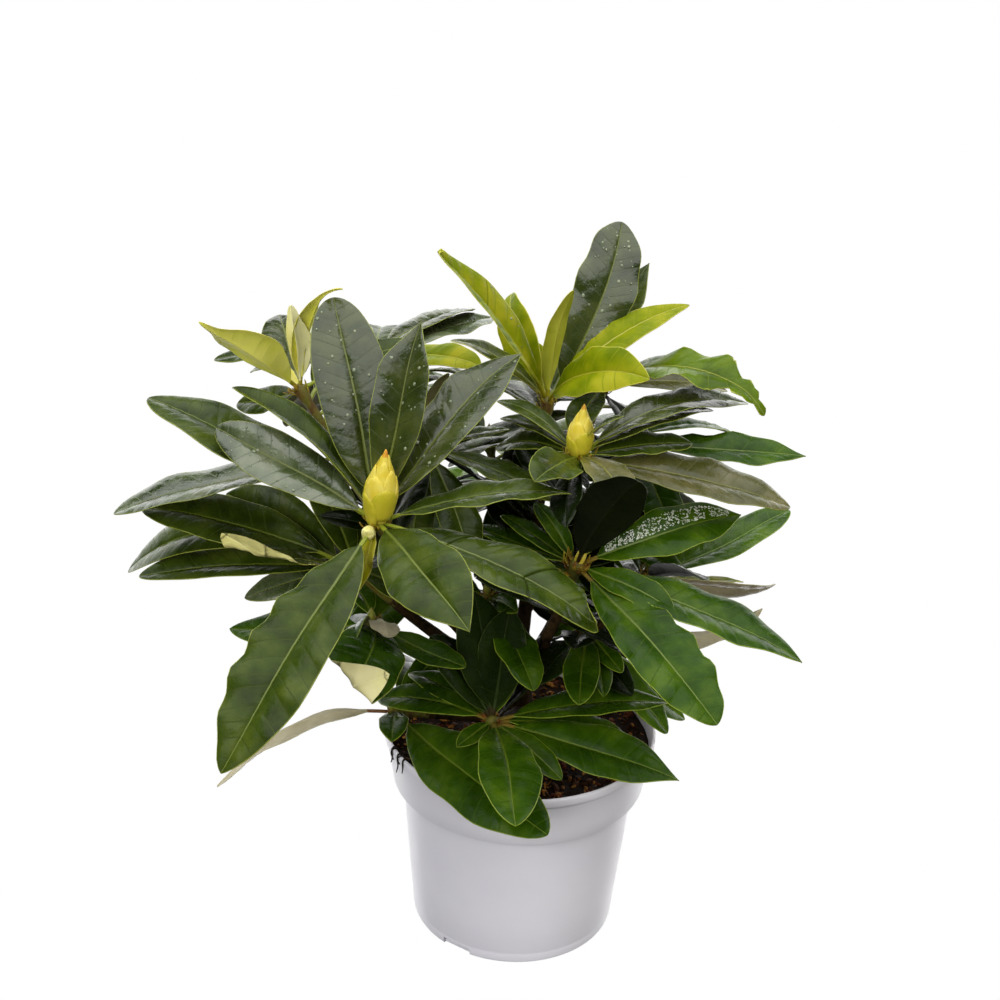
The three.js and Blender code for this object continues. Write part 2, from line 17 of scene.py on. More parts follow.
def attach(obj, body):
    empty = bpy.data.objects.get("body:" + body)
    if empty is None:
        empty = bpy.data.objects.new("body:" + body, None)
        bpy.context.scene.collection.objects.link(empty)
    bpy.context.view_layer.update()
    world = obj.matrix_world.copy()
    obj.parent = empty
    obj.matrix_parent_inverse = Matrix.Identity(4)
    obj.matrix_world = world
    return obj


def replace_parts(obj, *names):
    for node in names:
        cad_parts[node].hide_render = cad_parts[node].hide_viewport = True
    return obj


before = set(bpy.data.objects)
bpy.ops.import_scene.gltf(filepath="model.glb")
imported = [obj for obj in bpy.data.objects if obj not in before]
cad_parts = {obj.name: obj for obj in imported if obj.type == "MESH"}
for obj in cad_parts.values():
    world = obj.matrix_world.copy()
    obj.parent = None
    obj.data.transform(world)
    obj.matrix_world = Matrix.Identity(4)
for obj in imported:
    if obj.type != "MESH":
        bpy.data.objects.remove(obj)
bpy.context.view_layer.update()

MM = 0.001

# ---------------------------------------------------------------- driving sizes
CAMERA = {
    "distance": 1000,
    "elevation": 23.4,
    "target": (-20.5, 0, 320),
    "lens": 54.68,
    "sensor": 36,
    "roll": 2.27,                   # degrees that the camera leans to its left
}
POT = {
    "height": 150,
    "rim_radius": 95,
    "rim_band": 6,
    "rim_step": 1.6,
    "rim_edge": 1.2,
    "wall": 2.3,
    "collar_height": 39,
    "collar_foot": 88.8,
    "body_top": 82,
    "base_radius": 72.6,
    "base_edge": 1.5,
    "base_thickness": 2.2,
    "segments": 144,
    "notches": 3,
    "notch_width": 22,
    "notch_height": 6,
    "notch_depth": 7,
    "notch_turn": 117.5,
    "tab_back": 3.1,                # a light tab stands this far in behind each notch
    "tab_height": 4.4,
    "tab_width": 16.5,
    "tab_thickness": 1.2,
    "tab_foot": 0.4,
    "foot_ring": 8,                 # how high a moulding line runs round the foot
    "foot_ring_depth": 0.1,
    "sharp_angle": 40,
}
SOIL = {
    "level": 140,
    "crown": 2,
    "crown_reach": 60,
    "wall_gap": 0.4,
    "sink": 0.6,                    # how far its rough top lies below the level
    "foot": 8,
    "foot_gap": 0.8,
    "relief": 1.6,
    "rings": 40,
    "segments": 110,
    "waves": ((0.05, 1), (0.13, 0.7), (0.33, 0.5)),     # how fine each is, and its share
    "waves_seed": 3.7,
}
CHIPS = {
    "count": 1900,
    "sizes": (0.8, 1.1, 1.5, 2.0, 3.0),
    "looks": ("chip_dark", "chip_brown", "chip_brown", "chip_red", "chip_tan", "chip_tan"),
    "corners": 6,
    "tilt": 0.6,                    # radians either way
    "clear": 3,                     # how far in from the wall their middles stop
    "reach": 1.4,                   # and how far they reach, as a share of their size
}
TRUNK = {
    "foot": (3, 4),
    "course": ((-1, 1, 8), (-4, 5, 28)),
    "top": (-4, 10, 188),
    "flare_radius": 15,
    "foot_radius": 10,
    "top_radius": 7,
    "flare_share": 1 / 6,
    "sunk": 2.5,                    # how far its foot goes on into the soil
}
GAP = 0.3                           # what the solids leave between each other
LIMB = {
    "share": 0.72,                  # how much of a limb is bark, and not the young stem
    "middle": 0.4,
    "bend_share": 0.6,
    "parent_share": 0.8,
    "thickest": 5.4,
    "thinnest": 2.7,
    "overlap": 0.02,                # how far the bark runs on under the young stem
    "tuck": 0.01,                   # and the young stem back inside the bark
    "ring_gap": 2.2,
}
# How deep the furrows are as a share of the radius, the sides, and how many furrows there are.
BARK_OF = {"trunk": (0.13, 40, 3.2), "bough": (0.1, 18, 1.7), "stem": (0.07, 16, 1.3)}
# The bark's noise: its step from ring to ring and from limb to limb, how fine the unevenness is,
# how far the bark stands out where it isn't furrowed, and how deep a furrow goes.
BARK = {"along": 0.16, "seed_step": 7.3, "fine": 0.7, "level": 0.35, "furrow": 1.6}
# The knob a whorl grows on. Its rings: how far each lies below its top, and its radius.
KNOB = {"rise": 5, "rings": ((15, 2.9), (9, 4.6), (3, 4.6), (0, 2.2))}
LEAF = {
    "petiole": 0.12,
    "stalk_half": 1.5,
    "tip_half": 0.35,
    "widest": 0.56,
    "tip_power": 0.55,
    "coarse": 1 / 75,               # thickness of the solids' leaves, as a share of the length
    "seat": 4,
    "half_blade": 0.32,             # half the thickness of a real blade
    "vein_gap": 10.5,               # along the midrib
    "vein_relief": 0.42,
    "vein_wander": 0.16,            # how uneven the gaps between the side veins are
    "slant": 0.1,                   # how far a side vein runs forward, as a share of the blade
    "rib_half": (0.95, 0.25),       # from the stalk to the tip
    "rib_most": 0.42,               # and as a share of half the blade
    "margin": 0.42,
    "margin_most": 0.15,            # and as a share of half the blade
    "gutter": 0.5,                  # the groove over the midrib
    "keel": 1.25,                   # and the ridge under it
}
# Bites out of a torn leaf: how often the coarse and the fine ones come, and where they start.
TORN = {"coarse": 23, "fine": 61, "start": (0.66, 0.78)}
# How a margin wanders: by how much of the half width, and how often.
UNEVEN = ((0.025, 7), (0.012, 19))
GOLDEN_SHARE = 0.618
# What a spiral leaf tries in turn to find room: degrees round, degrees up, and its size.
ATTEMPTS = ((0, 0, 1), (12, 9, 0.94), (-12, -9, 0.94), (16, -16, 0.84), (-18, 16, 0.84))
VARIETY = {
    "length": (0.82, 0.3),
    "width": (0.29, 0.06),
    "arch": (0.04, 0.06),
    "rise": (-5, 10),
    "roll": (-15, 30),
}
# The row of random numbers that the solids' spirals were grown with.
SEED_STEP = 101
LEHMER_FACTOR = 16807
LEHMER_MODULUS = 2147483647

# ---------------------------------------------------------------- the shoots
# tip: where the whorl sits. from: the limb it grows out of, and how far along that limb.
# A leaf is (heading, rise, length, width, extras): degrees from +X, degrees up, mm, mm.
# In its extras roll, fold, twist and curl are degrees, and the tip curls from curl_from on.
# arch and sway bow the leaf up and sideways, by a share of its length. wave ripples its margin, in
# as many waves as waves says. point draws the tip out, sharp makes it keener and torn bites into it.
# over folds the tip back: where, at what slant, how far round and how tightly. down is how far down
# the limb the leaf grows, in mm.
# look: the leaves' colouring. looks: leaves that differ, by their place in the list.
SHOOTS = {
    "front_left": {
        "tip": (-95, -70, 332), "from": ("trunk", 0.86), "bend": (-40, -45, 30), "look": "olive",
        "leaves": [
            (112, 50, 151, 48, {"roll": -10, "sharp": 0, "wave": 0.03, "waves": 1.2}),
            (73, 57, 130, 39, {"fold": 30, "roll": 10, "sharp": 1}),
            (45, 37, 147, 43, {"roll": 5, "sharp": 0.9}),
            (165, 24, 116, 36, {"roll": -32, "sharp": 0, "twist": -14, "curl": 0}),
            (156, 18, 175, 52, {"roll": -7, "arch": 0.01, "sharp": 0.1}),
            (156, 34, 124, 31, {"fold": 28, "roll": 10, "arch": 0.08}),
            (9, 9, 121, 36, {"sharp": 0.9}),
            (-25, -12, 162, 48, {"curl": -14, "wave": 0.05, "sharp": 0.5, "over": (0.9, 40, 140, 2.4)}),
            (-60, -8, 121, 46, {"roll": 24, "arch": 0.06, "wave": 0.05, "sharp": 0.9}),
            (-118, -30, 183, 52, {"roll": -3, "arch": 0.06, "sway": 0.02, "wave": 0.07, "waves": 7}),
            (-115, -64, 46, 17, {"fold": 34, "wave": 0.3, "curl": 60, "point": 0.6}),
        ],
        "looks": {0: "satin", 1: "satin", 2: "satin", 3: "wet", 10: "lime"},
    },
    "left_high": {
        "tip": (-155, 30, 380), "from": ("front_left", 0.3), "bend": (-30, 20, 20), "look": "olive",
        "leaves": [
            (-129, 37, 104, 40, {"roll": 31, "arch": 0.03, "fold": 24, "point": 0.75, "curl": 14,
                                 "curl_from": 0.85}),
            (-100, 74, 65, 22, {"fold": 36, "point": 0.5, "curl": 10}),
            (-28, 73, 85, 26, {"arch": 0.07, "fold": 26, "point": 0.8, "curl": -55}),
            (108, 19, 90, 34, {"arch": 0.02}),
            (142, -21, 68, 24, {"roll": -40, "arch": -0.05}),
            (144, 37, 28, 9, {}),
            (-168, -11, 156, 45, {"down": 52, "arch": 0}),
        ],
        "spiral": {"count": 3, "start": 20, "arc": 90, "rise": 14, "fall": 6, "length": 108, "down": 10},
        "looks": {0: "lime", 1: "pale", 2: "lime", 3: "satin", 5: "pale", 6: "wet"},
    },
    "left": {
        "tip": (-118, 0, 266), "from": ("trunk", 0.62), "bend": (-30, 0, 10), "look": "olive",
        "leaves": [
            (177, 15, 146, 46, {"roll": -20}),
            (147, 12, 117, 42, {"roll": -35}),
            (168, -9, 166, 44, {"arch": 0.22, "roll": -20, "curl": 0, "twist": 0}),
            (-151, 18, 98, 29, {"arch": 0.01, "wave": 0.08, "over": (0.7, 64, 158, 2.4)}),
            (-172, -16, 75, 23, {"roll": -30}),
            (-15, -15, 62, 24, {"roll": 35}),
            (184, -3, 142, 36, {"roll": -12, "arch": 0.04, "fold": 16}),
        ],
        "spiral": {"count": 4, "start": 60, "arc": 80, "rise": 42, "fall": 13, "length": 92, "down": 4},
        "looks": {3: "edged", 4: "wet"},
    },
    "back_left": {
        "tip": (-112, 95, 385), "from": ("left_high", 0.35), "bend": (0, 25, 15), "look": "olive",
        "leaves": [
            (55, 5, 114, 34, {"roll": -10}),
            (47, 3, 119, 35, {"arch": 0.02}),
            (-40, 11, 99, 29, {"roll": 14, "arch": 0.03}),
        ],
        "spiral": {"count": 8, "start": 75, "arc": 110, "rise": 12, "fall": 6, "length": 118, "down": 4},
        "looks": {0: "satin", 1: "wet", 2: "young"},
    },
    "middle": {
        "tip": (-70, 30, 342), "from": ("trunk", 0.93), "bend": (10, 25, 0), "look": "olive",
        "leaves": [
            (36, 1, 67, 20, {}),
            (-50, 72, 62, 19, {"arch": 0.09}),
            (-26, -10, 96, 30, {}),
            (-5, -22, 84, 28, {"roll": -12}),
            (-62, -38, 92, 30, {}),
            (-98, -46, 84, 28, {}),
        ],
        "spiral": {"count": 4, "start": 80, "arc": 140, "rise": 8, "fall": 7, "length": 88, "down": 3},
    },
    "top": {
        "tip": (9, 50, 371), "from": ("trunk", 0.97), "bend": (5, 25, 10), "look": "olive",
        "leaves": [
            (-173, 52, 135, 40, {"roll": -20, "arch": 0.06, "fold": 18, "point": 0.35, "curl": 30,
                                 "curl_from": 0.86, "over": (0.95, 0, 140, 1.4)}),
            (116, 40, 95, 30, {"roll": -55, "arch": 0.07, "point": 0.4, "curl": -40}),
            (105, 48, 45, 14, {"roll": -30}),
            (-39, 80, 83, 24, {}),
            (58, 50, 140, 44, {"roll": 32, "arch": 0.06, "sway": -0.05, "sharp": 0, "wave": 0.09}),
            (-48, 26, 98, 38, {"roll": 50, "arch": 0.13, "sway": 0.05}),
            (20, 32, 118, 36, {"roll": 10, "arch": 0.11, "point": 0.35}),
            (48, 38, 130, 36, {"arch": -0.02, "sharp": 0.9}),
            (138, 36, 37, 12, {"roll": -15}),
            (158, 26, 80, 24, {"arch": 0.09}),
        ],
        "spiral": {"count": 4, "start": 70, "arc": 130, "rise": 12, "fall": 7, "length": 112, "down": 9},
        "looks": {0: "young", 1: "young", 2: "young", 3: "young", 4: "satin", 5: "young",
                  6: "young", 8: "young", 9: "edged"},
    },
    "upper_right": {
        "tip": (29, 0, 352), "from": ("top", 0.35), "bend": (10, -15, 0), "look": "olive",
        "leaves": [
            (-114, 8, 70, 32, {"roll": -20, "wave": 0.14, "sharp": 0.6}),
            (-67, -3, 76, 28, {"arch": 0.12, "sharp": 1.3}),
            (145, 12, 64, 20, {"arch": 0.1}),
            (145, -9, 66, 20, {"arch": 0.14, "roll": -20}),
            (151, 24, 67, 20, {"arch": 0.11}),
            (-20, 50, 44, 16, {"arch": 0.12}),
            (14, 4, 78, 25, {"roll": 12}),
            (19, 17, 98, 29, {"arch": 0.07}),
            (20, 14, 124, 37, {"arch": 0.12}),
            (-1, -10, 144, 43, {"roll": 16, "arch": 0.02, "sharp": 0.15, "wave": 0.05}),
        ],
        "looks": {1: "dull", 7: "satin", 8: "satin", 9: "dull"},
    },
    "right_top": {
        "tip": (48, 80, 374), "from": ("top", 0.45), "bend": (5, 15, 0), "look": "olive",
        "leaves": [
            (15, -5, 93, 28, {"roll": 15, "arch": 0.07}),
            (-40, 9, 130, 40, {"roll": 13, "arch": 0.15, "sway": 0.03, "wave": 0.14, "curl": -50,
                               "curl_from": 0.85, "torn": 0.5}),
            (-112, -14, 62, 24, {}),
        ],
        "spiral": {"count": 7, "start": 35, "arc": 190, "rise": 6, "fall": 5, "length": 108, "down": 3},
        "looks": {0: "dull", 1: "bright"},
    },
    "right_high": {
        "tip": (66, 62, 342), "from": ("top", 0.3), "bend": (20, 10, 0), "look": "deep",
        "leaves": [
            (2, -3, 125, 36, {"roll": 11, "arch": -0.02, "sharp": 1}),
            (-70, -26, 100, 32, {}),
        ],
        "spiral": {"count": 6, "start": 25, "arc": 120, "rise": -6, "fall": 6, "length": 108, "down": 4},
    },
    "right": {
        "tip": (30, -40, 293), "from": ("trunk", 0.8), "bend": (15, -30, 20), "look": "deep",
        "leaves": [
            (21, 11, 119, 38, {"roll": 25, "sharp": 0.8}),
            (-17, -14, 154, 46, {"roll": 5, "arch": 0.03, "wave": 0.05, "sharp": 0.8}),
            (-29, -9, 70, 24, {"roll": 20}),
            (-52, -19, 143, 46, {"roll": 12, "arch": 0.03, "wave": 0.08, "waves": 6}),
            (147, 4, 85, 27, {"arch": 0}),
            (137, 13, 69, 20, {"arch": 0}),
            (120, 24, 58, 17, {}),
            (-61, 53, 107, 36, {"roll": -38, "arch": 0.03, "sway": -0.04}),
        ],
        # Leaf 7 is painted near-black as shade.
        "looks": {7: "shade"},
        "spiral": {"count": 2, "start": 60, "arc": 80, "rise": 6, "fall": 8, "length": 80, "down": 8},
    },
    "right_low": {
        "tip": (84, 46, 246), "from": ("trunk", 0.7), "bend": (25, 10, 0), "look": "fresh",
        "leaves": [
            (29, 15, 128, 40, {"arch": -0.05}),
            (11, -9, 100, 30, {"roll": 130, "arch": 0.03}),
            (20, -9, 80, 24, {"roll": -10, "arch": -0.03, "sharp": 0.8}),
        ],
        "looks": {1: "beige", 2: "young"},
        "spiral": {"count": 7, "start": 50, "arc": 170, "rise": 14, "fall": 6, "length": 108, "down": 3},
    },
    "heart_right": {
        "tip": (42, 4, 222), "from": ("right_low", 0.35), "bend": (5, -15, 0), "look": "deep",
        "leaves": [
            (-95, -8, 80, 25, {}),
            (-80, -14, 62, 18, {"roll": -19}),
            (-64, -5, 51, 15, {"roll": 18}),
            (-22, -44, 90, 27, {"roll": 16, "arch": 0}),
            (3, -41, 102, 30, {"roll": 24, "arch": -0.04, "sway": -0.04}),
            (14, 1, 130, 38, {"roll": 166, "arch": 0.09}),
        ],
        "spiral": {"count": 3, "start": 60, "arc": 130, "rise": 24, "fall": 8, "length": 62, "down": 3},
        "looks": {3: "fresh", 4: "fresh", 5: "beige"},
    },
    "front_low": {
        "tip": (-20, -55, 184), "from": ("trunk", 0.3), "bend": (-5, -20, 5), "look": "deep",
        "leaves": [
            (-13, -9, 128, 42, {"roll": 14, "arch": 0.02, "sharp": 1.1}),
            (10, -11, 95, 30, {"roll": 8}),
            (11, 3, 120, 37, {}),
            (-82, 1, 119, 40, {"roll": -9, "arch": 0.07}),
            (141, 7, 76, 24, {"roll": -8}),
            (159, -2, 84, 28, {"roll": -14, "arch": 0.1}),
            (-124, 0, 39, 13, {"roll": -20}),
            (-41, -14, 63, 19, {"roll": 14}),
        ],
        "spiral": {"count": 3, "start": 50, "arc": 90, "rise": 30, "fall": 5, "length": 72, "down": 1},
    },
    "front_low_left": {
        "tip": (-86, -28, 172), "from": ("trunk", 0.2), "bend": (-15, 0, 0), "look": "deep",
        "leaves": [
            (-49, -3, 156, 50, {"roll": 23, "arch": 0.02, "sway": -0.03, "wave": 0.05}),
            (-88, 12, 56, 20, {"arch": 0.07}),
            (-178, -29, 139, 38, {"roll": 191, "arch": -0.15}),
        ],
        "looks": {2: "beige"},
        "spiral": {"count": 3, "start": 60, "arc": 110, "rise": 22, "fall": 8, "length": 72, "down": 2},
    },
    "left_low": {
        "tip": (-100, -30, 240), "from": ("left", 0.3), "bend": (-10, -15, 0), "look": "deep",
        "leaves": [
            (-95, 2, 124, 46, {"roll": -20, "arch": 0.1, "sway": 0.03, "curl": 0,
                               "over": (0.79, -26, 150, 3)}),
            (-76, 20, 58, 20, {"roll": 170, "arch": -0.1}),
            (-100, 14, 62, 20, {"roll": 40, "arch": 0.12}),
            (161, -14, 113, 34, {"arch": -0.02, "roll": -25}),
            (-32, -6, 73, 22, {"roll": 12, "arch": -0.04}),
        ],
        "looks": {0: "folded", 1: "beige"},
        "spiral": {"count": 2, "start": 100, "arc": 60, "rise": -8, "fall": 8, "length": 96, "down": 3},
    },
    "heart": {
        "tip": (-26, 12, 240), "from": ("trunk", 0.95), "bend": (0, 0, 0), "look": "deep",
        "leaves": [
            (-65, 16, 49, 16, {"roll": 32, "arch": 0.09}),
            (-69, -13, 91, 29, {}),
            (-118, -12, 34, 15, {}),
            (70, 60, 84, 28, {}),
            (15, 46, 62, 24, {}),
        ],
        "spiral": {"count": 5, "start": 70, "arc": 150, "rise": 26, "fall": 6, "length": 74, "down": 2},
    },
    "back": {
        "tip": (-30, 116, 316), "from": ("trunk", 0.9), "bend": (0, 40, 10), "look": "olive",
        "leaves": [],
        "spiral": {"count": 13, "start": 20, "rise": 34, "fall": 4.5, "length": 116, "down": 3},
    },
    "back_right": {
        "tip": (56, 108, 268), "from": ("trunk", 0.75), "bend": (20, 35, 0), "look": "deep",
        "leaves": [],
        "spiral": {"count": 11, "start": 100, "rise": 34, "fall": 5, "length": 106, "down": 2.5},
    },
    "back_low": {
        "tip": (-76, 96, 236), "from": ("trunk", 0.55), "bend": (-20, 30, 0), "look": "fresh",
        "leaves": [],
        "spiral": {"count": 11, "start": 130, "rise": 30, "fall": 5, "length": 110, "down": 2.5},
    },
}
# The buds that show: their size, their lean in degrees towards +X and +Y, and how many scales.
BUDS = {
    "front_left": {"length": 50, "radius": 10, "lean": (6, -4), "scales": 13},
    "upper_right": {"length": 38, "radius": 8.5, "lean": (3, -3), "scales": 11},
    "right": {"length": 17, "radius": 3.4, "lean": (20, 0), "scales": 7},
}
SMALL_BUD = {"length": 11, "radius": 2.8, "lean": (0, 0), "scales": 6, "above": 3}
# Which shoots end in young leaves or in bare petioles, and so have no small bud.
BUDLESS = ("left_high", "top", "front_low")
SIDE_BUD = {"length": 11, "radius": 4.4, "lean": (-14, -58), "scales": 5}
SIDE_BUD_OFFSET = (-4, -6, -5)
# Older leaves painted near-black as shade fill the crown's heart: the space they keep to, and how they grow
# down a limb.
HEART = {
    "centre": (-15, 25, 262),
    "reach": (150, 112, 132),
    "tries": 34,
    "down": 0.75,
    "turn": 137.5,
    "scatter": (-25, 25),
    "rise": (-35, 40),
    "length": (52, 104),
    "width": (0.3, 0.38),
    "roll": (-30, 30),
}
# Older leaves in front of the stems, painted dark as shade: shoot, heading, rise, length, width, extras.
STANDING = (
    ("front_low", 112, 62, 86, 38, {"arch": 0.04, "roll": -6}),
    ("front_low", 74, 66, 76, 32, {"arch": 0.03, "roll": 14}),
    ("front_low", 150, 46, 70, 28, {"arch": 0.06, "roll": -18}),
    ("heart", -96, -40, 66, 30, {"down": 14, "arch": 0.05}),
    ("heart_right", -120, -6, 60, 28, {"down": 6, "arch": 0.08}),
)
# Where one sees through the plant, in the picture of this many pixels: across, down and reach.
PICTURE = 1000
OPENINGS = {
    "left of the stems": (413, 627, 12),
    "among the stems": (530, 630, 9),
    "right of the trunk": (562, 655, 6),
    "under the front leaves": (446, 570, 8),
    "beside the long leaf": (465, 583, 5),
    "over the left shoots": (437, 341, 8),
    "under the tip of the young leaf": (482, 333, 9),
    "left of the bud": (498, 412, 6),
    "over the right leaves": (725, 424, 14),
    "under the left leaf": (640, 650, 10),
}
# Where in an opening a line is tried, as shares of its reach.
PROBES = ((0, 0), (1, 0), (-1, 0), (0, 1), (0, -1), (0.7, 0.7), (-0.7, -0.7))


# ---------------------------------------------------------------- small helpers
def array(values):
    return np.array(values, dtype=float)


def unit(vector):
    return vector / np.linalg.norm(vector)


def lerp(low, high, share):
    return low + (high - low) * share


def round_angles(sides):
    return np.linspace(0, 2 * math.pi, sides, endpoint=False)


def smooth(low, high, value):
    share = np.clip((value - low) / (high - low), 0, 1)
    return share * share * (3 - 2 * share)


def direction(heading, rise):
    """A unit vector, degrees round from +X and degrees up."""
    turn, lift = math.radians(heading), math.radians(rise)
    return array([math.cos(lift) * math.cos(turn), math.cos(lift) * math.sin(turn), math.sin(lift)])


def seeded(seed):
    """The row of numbers from 0 to 1 that the solids' spirals were grown with."""
    state = seed
    while True:
        state = (state * LEHMER_FACTOR) % LEHMER_MODULUS
        yield state / LEHMER_MODULUS


class Course:
    """A curve that is measured by its length: at takes 0 to 1, and share is of the length."""

    def __init__(self, at, steps=200):
        self.at = at
        self.steps = np.linspace(0, 1, steps + 1)
        points = np.array([at(step) for step in self.steps])
        gaps = np.linalg.norm(np.diff(points, axis=0), axis=1)
        self.lengths = np.concatenate([[0], np.cumsum(gaps)])
        self.length = self.lengths[-1]

    def point(self, share):
        return self.at(np.interp(share * self.length, self.lengths, self.steps))

    def tangent(self, share, near=0.002):
        return unit(self.point(min(share + near, 1)) - self.point(max(share - near, 0)))


def bezier(start, middle, end):
    return Course(lambda t: (1 - t) ** 2 * start + 2 * t * (1 - t) * middle + t * t * end)


def catmull_rom(points):
    """The centripetal curve through the points, as three.js makes it."""
    last = len(points) - 1
    before = 2 * points[0] - points[1]
    after = 2 * points[last] - points[last - 1]
    padded = [before, *points, after]

    def at(t):
        place = min(int(last * t), last - 1)
        weight = last * t - place
        a, b, c, d = padded[place:place + 4]
        gap_ab, gap_bc, gap_cd = (math.sqrt(np.linalg.norm(q - p)) for p, q in ((a, b), (b, c), (c, d)))
        start = ((b - a) / gap_ab - (c - a) / (gap_ab + gap_bc) + (c - b) / gap_bc) * gap_bc
        end = ((c - b) / gap_bc - (d - b) / (gap_bc + gap_cd) + (d - c) / gap_cd) * gap_bc
        square = -3 * b + 3 * c - 2 * start - end
        cube = 2 * b - 2 * c + start + end
        return b + start * weight + square * weight ** 2 + cube * weight ** 3

    return Course(at)


# ---------------------------------------------------------------- meshes gathered from shapes
class Piece:
    """One Blender object, gathered from many small shapes with a material for each face."""

    def __init__(self):
        self.points, self.faces, self.looks, self.count = [], [], [], 0

    def add(self, points, faces, look):
        """look is one material name for all the faces, or one for each."""
        self.points.append(np.asarray(points, dtype=float).reshape(-1, 3))
        self.faces += [[corner + self.count for corner in face] for face in faces]
        self.looks += [look] * len(faces) if isinstance(look, str) else list(look)
        self.count += len(self.points[-1])

    def build(self, name, slot):
        mesh = bpy.data.meshes.new(name)
        mesh.from_pydata(np.concatenate(self.points) * MM, [], self.faces)
        names = sorted(set(self.looks))
        for look in names:
            mesh.materials.append(MATERIALS[look])
        mesh.polygons.foreach_set("material_index", [names.index(look) for look in self.looks])
        mesh.polygons.foreach_set("use_smooth", [True] * len(mesh.polygons))
        mesh.update()
        piece = bpy.data.objects.new(name, mesh)
        bpy.context.scene.collection.objects.link(piece)
        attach(piece, "root")
        return piece


def grid_faces(rows, columns, closed=False, start=0):
    """Quads over rows of points, all round if closed."""
    faces = []
    for row in range(rows - 1):
        for column in range(columns if closed else columns - 1):
            beside = (column + 1) % columns
            here, above = start + row * columns, start + (row + 1) * columns
            faces.append((here + column, here + beside, above + beside, above + column))
    return faces


def ring_faces(rings, sides):
    """Faces over rings of points, with a flat end on the first ring and on the last."""
    last = (rings - 1) * sides
    faces = grid_faces(rings, sides, closed=True)
    return faces + [tuple(range(sides))[::-1], tuple(range(last, last + sides))]


def circle(radius, height, sides):
    """Points round a level circle about the pot's middle."""
    return [(radius * math.cos(turn), radius * math.sin(turn), height) for turn in round_angles(sides)]


def tube(points, radii, sides, bumps=None):
    """Rings round a line of points. bumps gives a radius factor for a ring's points."""
    points = np.asarray(points)
    tangents = np.gradient(points, axis=0)
    normal = array([1, 0, 0])
    rings = []
    angles = round_angles(sides)
    for place, (centre, tangent, radius) in enumerate(zip(points, tangents, radii)):
        tangent = unit(tangent)
        normal = unit(normal - normal.dot(tangent) * tangent)
        across = np.cross(tangent, normal)
        out = np.outer(np.cos(angles), normal) + np.outer(np.sin(angles), across)
        ring = centre + out * radius
        if bumps:
            ring = centre + out * (radius * bumps(place, ring, angles))[:, None]
        rings.append(ring)
    return np.concatenate(rings), ring_faces(len(rings), sides)


# ---------------------------------------------------------------- the limbs, as the solids have them
def trunk_radius(share):
    taper = lerp(TRUNK["foot_radius"], TRUNK["top_radius"], share)
    flare = max(0, 1 - share / TRUNK["flare_share"]) ** 2
    return taper + (TRUNK["flare_radius"] - TRUNK["foot_radius"]) * flare


def limb_radius(thick):
    return lambda share: lerp(thick, LIMB["thinnest"], share)


def grow_limbs():
    ground = SOIL["level"] + SOIL["crown"] + GAP
    foot = array([*TRUNK["foot"], ground])
    course = [foot + array(offset) for offset in TRUNK["course"]]
    trunk = catmull_rom([foot, *course, array(TRUNK["top"])])
    limbs = {"trunk": {"curve": trunk, "radius": trunk_radius, "end": 1}}
    for name, shoot in SHOOTS.items():
        parent_name, share = shoot["from"]
        parent = limbs[parent_name]
        at = parent["curve"].point(share * parent["end"])
        tip = array(shoot["tip"])
        middle = lerp(at, tip, LIMB["middle"]) + array(shoot["bend"]) * LIMB["bend_share"]
        crest = tip + unit(tip - middle) * KNOB["rise"]
        thick = min(parent["radius"](share * parent["end"]) * LIMB["parent_share"], LIMB["thickest"])
        limbs[name] = {"curve": bezier(at, middle, crest), "radius": limb_radius(thick),
                       "end": LIMB["share"]}
    return limbs


# ---------------------------------------------------------------- one leaf
BASE_POWER = LEAF["tip_power"] * LEAF["widest"] / (1 - LEAF["widest"])


def along_blade(share):
    """How far along its blade a share of the leaf's length lies."""
    return np.clip((share - LEAF["petiole"]) / (1 - LEAF["petiole"]), 0, 1)


def swell(along):
    """A blade's outline, before it is scaled to the leaf's width."""
    return along ** BASE_POWER * (1 - along) ** LEAF["tip_power"]


